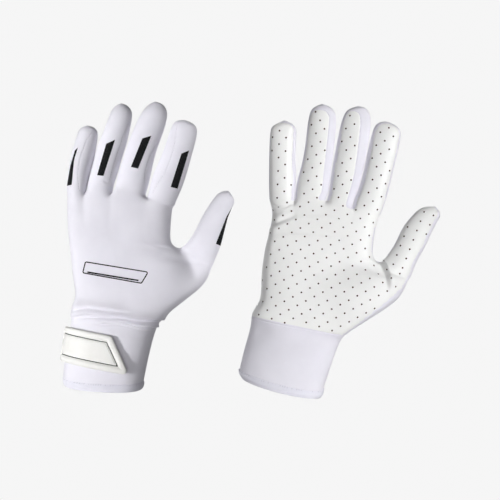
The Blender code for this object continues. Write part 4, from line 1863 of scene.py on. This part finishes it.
def addLamp(name, place, aim, size, power, spread):
    lamp = bpy.data.lights.new(name, "AREA")
    lamp.shape = "RECTANGLE"
    lamp.size, lamp.size_y = size
    lamp.energy = power
    lamp.spread = math.radians(spread)
    stand = bpy.data.objects.new(name, lamp)
    stand.location = place
    stand.rotation_euler = (Vector(place) - Vector(aim)).to_track_quat("Z", "Y").to_euler()
    bpy.context.scene.collection.objects.link(stand)


for lampName, lampShape in lamps.items():
    addLamp(lampName, *lampShape)

backdrop = {
    "seen": (0.92, 0.92, 0.92),
    "light": (0.09, 0.09, 0.092),
    "floorHeight": -0.34,
    "floorSize": 1.3,
    "floorSides": 96,
    "floorShare": 0.8,
    "floorColour": (0.80, 0.80, 0.80),
    "floorRough": 0.9,
}


def seenDirectly(nodes, links):
    # 1 where the camera looks, also by way of a mirror or through glass
    path = nodes.new("ShaderNodeLightPath")
    seen = path.outputs["Is Camera Ray"]
    for kind in ("Is Glossy Ray", "Is Transmission Ray"):
        either = nodes.new("ShaderNodeMath")
        either.operation = "MAXIMUM"
        links.new(seen, either.inputs[0])
        links.new(path.outputs[kind], either.inputs[1])
        seen = either.outputs["Value"]
    return seen


def makeWorld():
    # soft light all round; the camera and mirrors see the pale backdrop instead
    world = bpy.data.worlds.new("studio")
    bpy.context.scene.world = world
    world.use_nodes = True
    nodes, links = world.node_tree.nodes, world.node_tree.links
    soft = nodes["Background"]
    soft.inputs["Color"].default_value = (*backdrop["light"], 1.0)
    pale = nodes.new("ShaderNodeBackground")
    pale.inputs["Color"].default_value = (*backdrop["seen"], 1.0)
    mix = nodes.new("ShaderNodeMixShader")
    links.new(seenDirectly(nodes, links), mix.inputs["Fac"])
    links.new(soft.outputs["Background"], mix.inputs[1])
    links.new(pale.outputs["Background"], mix.inputs[2])
    links.new(mix.outputs["Shader"], nodes["World Output"].inputs["Surface"])


def makeFloor():
    # a pale round floor that runs into the backdrop and still takes a shadow
    clearSelection()
    sides = backdrop["floorSides"]
    bpy.ops.mesh.primitive_circle_add(vertices=sides, radius=backdrop["floorSize"] / 2, fill_type="NGON")
    floor = bpy.context.object
    floor.name = "floor"
    for vertex in floor.data.vertices:
        vertex.co = vertex.co + Vector((pictureMiddle.x, 0.0, backdrop["floorHeight"]))
    colour, rough = backdrop["floorColour"], backdrop["floorRough"]
    material, nodes, links, shader = newMaterial("pale floor", colour, rough)
    pale = nodes.new("ShaderNodeEmission")
    pale.inputs["Color"].default_value = (*backdrop["seen"], 1.0)
    share = nodes.new("ShaderNodeMath")
    share.operation = "MULTIPLY"
    share.inputs[1].default_value = backdrop["floorShare"]
    links.new(seenDirectly(nodes, links), share.inputs[0])
    mix = nodes.new("ShaderNodeMixShader")
    links.new(share.outputs["Value"], mix.inputs["Fac"])
    links.new(shader.outputs["BSDF"], mix.inputs[1])
    links.new(pale.outputs["Emission"], mix.inputs[2])
    links.new(mix.outputs["Shader"], nodes["Material Output"].inputs["Surface"])
    floor.data.materials.append(material)


makeWorld()
makeFloor()
bpy.context.scene.view_settings.view_transform = "Standard"
print("camera, light and floor set")
